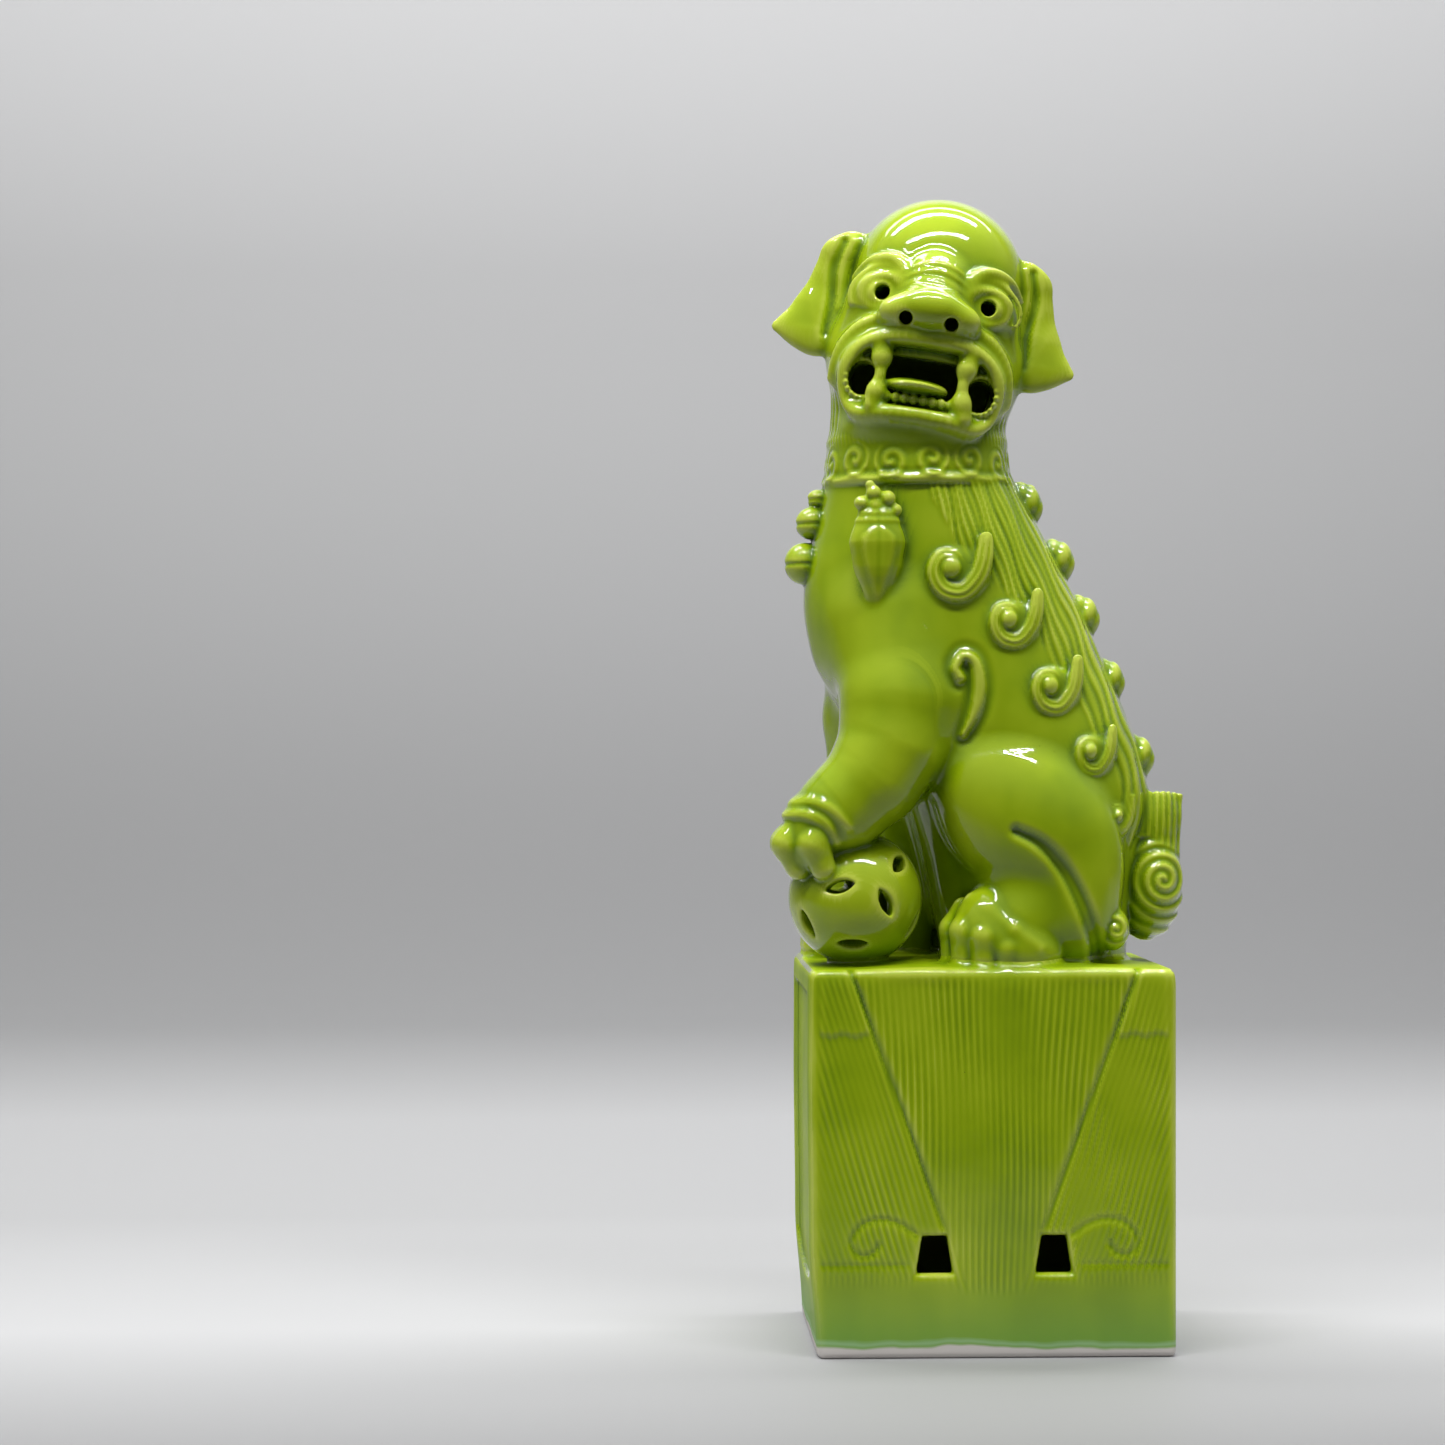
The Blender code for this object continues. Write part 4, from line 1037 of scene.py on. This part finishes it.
def glaze_material():
    """Thin and yellow where the glaze ran off a ridge, deep green where it pooled."""
    material = bpy.data.materials.new("apple_green_glaze")
    material.use_nodes = True
    nodes, links = material.node_tree.nodes, material.node_tree.links
    shader = nodes["Principled BSDF"]
    set_inputs(shader, {"IOR": 1.5, "Specular IOR Level": 0.05, "Coat Roughness": 0.03, "Coat IOR": 1.5})

    def math_node(operation, a, b=0.0, c=0.0, clamp=False):
        node = nodes.new("ShaderNodeMath")
        node.operation, node.use_clamp = operation, clamp
        for socket, value in zip(node.inputs, (a, b, c)):
            if isinstance(value, (int, float)):
                socket.default_value = value
            else:
                links.new(value, socket)
        return node.outputs[0]

    def scaled(value, gain, offset, clamp=False):
        return math_node("MULTIPLY_ADD", value, gain, offset, clamp)

    def attribute(name):
        node = nodes.new("ShaderNodeAttribute")
        node.attribute_name = name
        return node.outputs["Fac"]

    def noise(scale, detail, rough=0.5, stretch=(1, 1, 1)):
        mapping, texture = nodes.new("ShaderNodeMapping"), nodes.new("ShaderNodeTexNoise")
        mapping.inputs["Scale"].default_value = stretch
        links.new(place.outputs["Object"], mapping.inputs["Vector"])
        links.new(mapping.outputs[0], texture.inputs["Vector"])
        set_inputs(texture, {"Scale": scale, "Detail": detail, "Roughness": rough})
        return texture.outputs["Fac"]

    def mix(factor, a, b):
        node = nodes.new("ShaderNodeMix")
        node.data_type = "RGBA"
        for socket, value in ((node.inputs[0], factor), (node.inputs[6], a), (node.inputs[7], b)):
            if isinstance(value, (int, float, tuple)):
                socket.default_value = value
            else:
                links.new(value, socket)
        return node.outputs[2]

    place = nodes.new("ShaderNodeTexCoord")
    clouds = noise(38, 3)
    runs = noise(70, 2, stretch=(1, 1, 0.22))
    specks = noise(520, 2, 0.6)
    fine, broad = attribute("fine"), attribute("broad")
    # thickness of the glaze, 0 thin to 1 pooled
    thick = scaled(fine, -2.3, 0.47)
    thick = scaled(broad, -0.2, thick)
    thick = math_node("ADD", thick, scaled(clouds, 0.7, -0.35))
    thick = math_node("ADD", thick, scaled(runs, 0.5, -0.25), clamp=True)
    colour = ramped(material.node_tree, thick, GLAZE_TONES)
    # runs of greener glaze above the foot, and the bare white rim under it
    height = nodes.new("ShaderNodeSeparateXYZ")
    links.new(place.outputs["Object"], height.inputs[0])
    z = math_node("ADD", height.outputs["Z"], scaled(clouds, 0.006, -0.003))
    pool = scaled(z, -55, 1.15, clamp=True)
    colour = mix(math_node("MULTIPLY", pool, 0.75), colour, FOOT_GREEN)
    edge = math_node("ABSOLUTE", scaled(z, 900, -3.4))
    edge = math_node("SUBTRACT", 1.0, edge, clamp=True)
    colour = mix(math_node("MULTIPLY", edge, 0.55), colour, FOOT_EDGE)
    bare = scaled(z, -1400, 4.3, clamp=True)
    colour = mix(bare, colour, BARE_CLAY)
    pin = scaled(specks, 26, -20.6, clamp=True)
    colour = mix(math_node("MULTIPLY", pin, 0.85), colour, PINHOLE)
    links.new(colour, shader.inputs["Base Color"])
    rough = scaled(bare, 0.5, 0.1)
    # the plinth's flat top and sides are duller than the modelled faces
    facing = nodes.new("ShaderNodeSeparateXYZ")
    links.new(place.outputs["Normal"], facing.inputs[0])
    flat = math_node("MAXIMUM", math_node("ABSOLUTE", facing.outputs["X"]), facing.outputs["Z"])
    flat = scaled(flat, 8.0, -6.6, clamp=True)
    below = scaled(height.outputs["Z"], -400.0, 41.6, clamp=True)
    dull = math_node("MULTIPLY", flat, below)
    links.new(scaled(dull, -0.9, 1.0), shader.inputs["Coat Weight"])
    rough = scaled(dull, 0.35, rough)
    links.new(scaled(runs, 0.06, rough), shader.inputs["Roughness"])
    bump = nodes.new("ShaderNodeBump")
    set_inputs(bump, {"Strength": 0.18, "Distance": 0.0004})
    links.new(math_node("ADD", noise(160, 2), math_node("MULTIPLY", clouds, 1.5)), bump.inputs["Height"])
    links.new(bump.outputs[0], shader.inputs["Normal"])
    links.new(bump.outputs[0], shader.inputs["Coat Normal"])
    return material


# ---- stage
def mapped(tree, value, low, high, to_low, to_high):
    node = tree.nodes.new("ShaderNodeMapRange")
    node.interpolation_type = "SMOOTHSTEP"
    tree.links.new(value, node.inputs["Value"])
    for socket, number in zip(node.inputs[1:5], (low, high, to_low, to_high)):
        socket.default_value = number
    return node.outputs["Result"]


# painted shade on the sweep's floor: the grey falls to black at the front edge and darkens toward the bend
FLOOR_PAINTED_SHADE = ((0.0, 0.0), (0.22, 0.375), (0.37, 0.305), (0.59, 0.335), (1.0, 0.215))  # front to back


def sweep_material():
    """Pale floor and wall with painted shade: the grey darkens toward the bend, grows paler up the wall, and
    falls to black in front of what the camera sees.
    """
    material = bpy.data.materials.new("pale_sweep")
    material.use_nodes = True
    tree = material.node_tree
    shader = tree.nodes["Principled BSDF"]
    shader.inputs["Roughness"].default_value = 0.6
    place = tree.nodes.new("ShaderNodeTexCoord")
    axes = tree.nodes.new("ShaderNodeSeparateXYZ")
    tree.links.new(place.outputs["Object"], axes.inputs[0])
    distance = mapped(tree, axes.outputs["Y"], -0.55, 1.3, 0.0, 1.0)
    # painted shade: these floor greys dim toward the bend, and the wall's paler grey rises above it
    stops = [(at, (grey, grey, grey * 1.01, 1)) for at, grey in FLOOR_PAINTED_SHADE]
    blend = tree.nodes.new("ShaderNodeMix")
    blend.data_type = "RGBA"
    tree.links.new(mapped(tree, axes.outputs["Z"], 0.05, 0.8, 0.0, 1.0), blend.inputs[0])
    tree.links.new(ramped(tree, distance, stops), blend.inputs[6])
    blend.inputs[7].default_value = (0.62, 0.62, 0.625, 1)
    tree.links.new(blend.outputs[2], shader.inputs["Base Color"])
    return material


def build_stage():
    """A pale sweep: floor, a long curve and a wall behind, with shade painted into its grey where they meet.
    """
    front, depth, height, bend, half = -0.56, 0.9, 2.4, 0.5, 3.0
    profile = [(front, 0.0), (depth, 0.0)]
    for a in np.linspace(0.08, math.pi / 2, 16):
        profile.append((depth + bend * math.sin(a), bend * (1 - math.cos(a))))
    profile.append((depth + bend, height))
    points = [(x, y, z) for y, z in profile for x in (-half, half)]
    faces = [(2 * i, 2 * i + 1, 2 * i + 3, 2 * i + 2) for i in range(len(profile) - 1)]
    mesh = bpy.data.meshes.new("sweep")
    mesh.from_pydata(points, [], faces)
    mesh.shade_smooth()
    mesh.materials.append(sweep_material())
    sweep = new_object("sweep", mesh)


def area_light(name, place, target, size, power):
    light = bpy.data.lights.new(name, "AREA")
    light.shape, light.size, light.size_y = "RECTANGLE", size[0], size[1]
    light.energy = power
    obj = new_object(name, light)
    obj.location = place
    obj.rotation_euler = (Vector(target) - Vector(place)).to_track_quat("-Z", "Y").to_euler()


def build_lights():
    """Pairs of thin overhead tubes, and a sky that is bright above and dim in front."""
    for name, y, power in (("front", -0.42, 7.7), ("top", 0.16, 5.6)):
        for i, gap in enumerate((-0.03, 0.03)):
            place = (-0.1, y + gap, 1.15)
            area_light(f"tube_{name}_{i}", place, (-0.1, 0.0, 0.2), (1.3, 0.013), power)
    area_light("wall_wash", (0, 0.75, 1.7), (0, 1.5, 0.75), (2.6, 0.3), 21)
    world = bpy.data.worlds.new("studio")
    world.use_nodes = True
    tree = world.node_tree
    place = tree.nodes.new("ShaderNodeTexCoord")
    axes = tree.nodes.new("ShaderNodeSeparateXYZ")
    tree.links.new(place.outputs["Generated"], axes.inputs[0])
    strength = mapped(tree, axes.outputs["Z"], -0.05, 1.0, 0.06, 0.58)
    background = tree.nodes["Background"]
    background.inputs[0].default_value = (0.97, 0.985, 1.0, 1)
    tree.links.new(strength, background.inputs[1])
    bpy.context.scene.world = world


def build_camera():
    """Level, 0.83 m in front of the statue and turned two degrees from square."""
    camera = bpy.data.cameras.new("camera")
    camera.sensor_width = 36.0
    camera.lens = 77.2
    camera.shift_y = 0.0162
    camera.clip_start = 0.05
    obj = new_object("camera", camera)
    obj.location = np.array([-99.6, -832.0, 158.2]) * MM + MIDDLE
    turn = math.radians(2)
    ahead = Vector((math.sin(turn), math.cos(turn), 0))
    obj.rotation_euler = ahead.to_track_quat("-Z", "Y").to_euler()
    bpy.context.scene.camera = obj


def main():
    glaze = glaze_material()
    for build in (build_plinth, build_lion):
        field = build()
        for name, parts in surface_net(field, TONE_REACHES).items():
            new_piece(name + "_glazed", *parts, glaze, name)
    build_stage()
    build_lights()
    build_camera()
    bpy.context.scene.view_settings.view_transform = "Standard"


main()
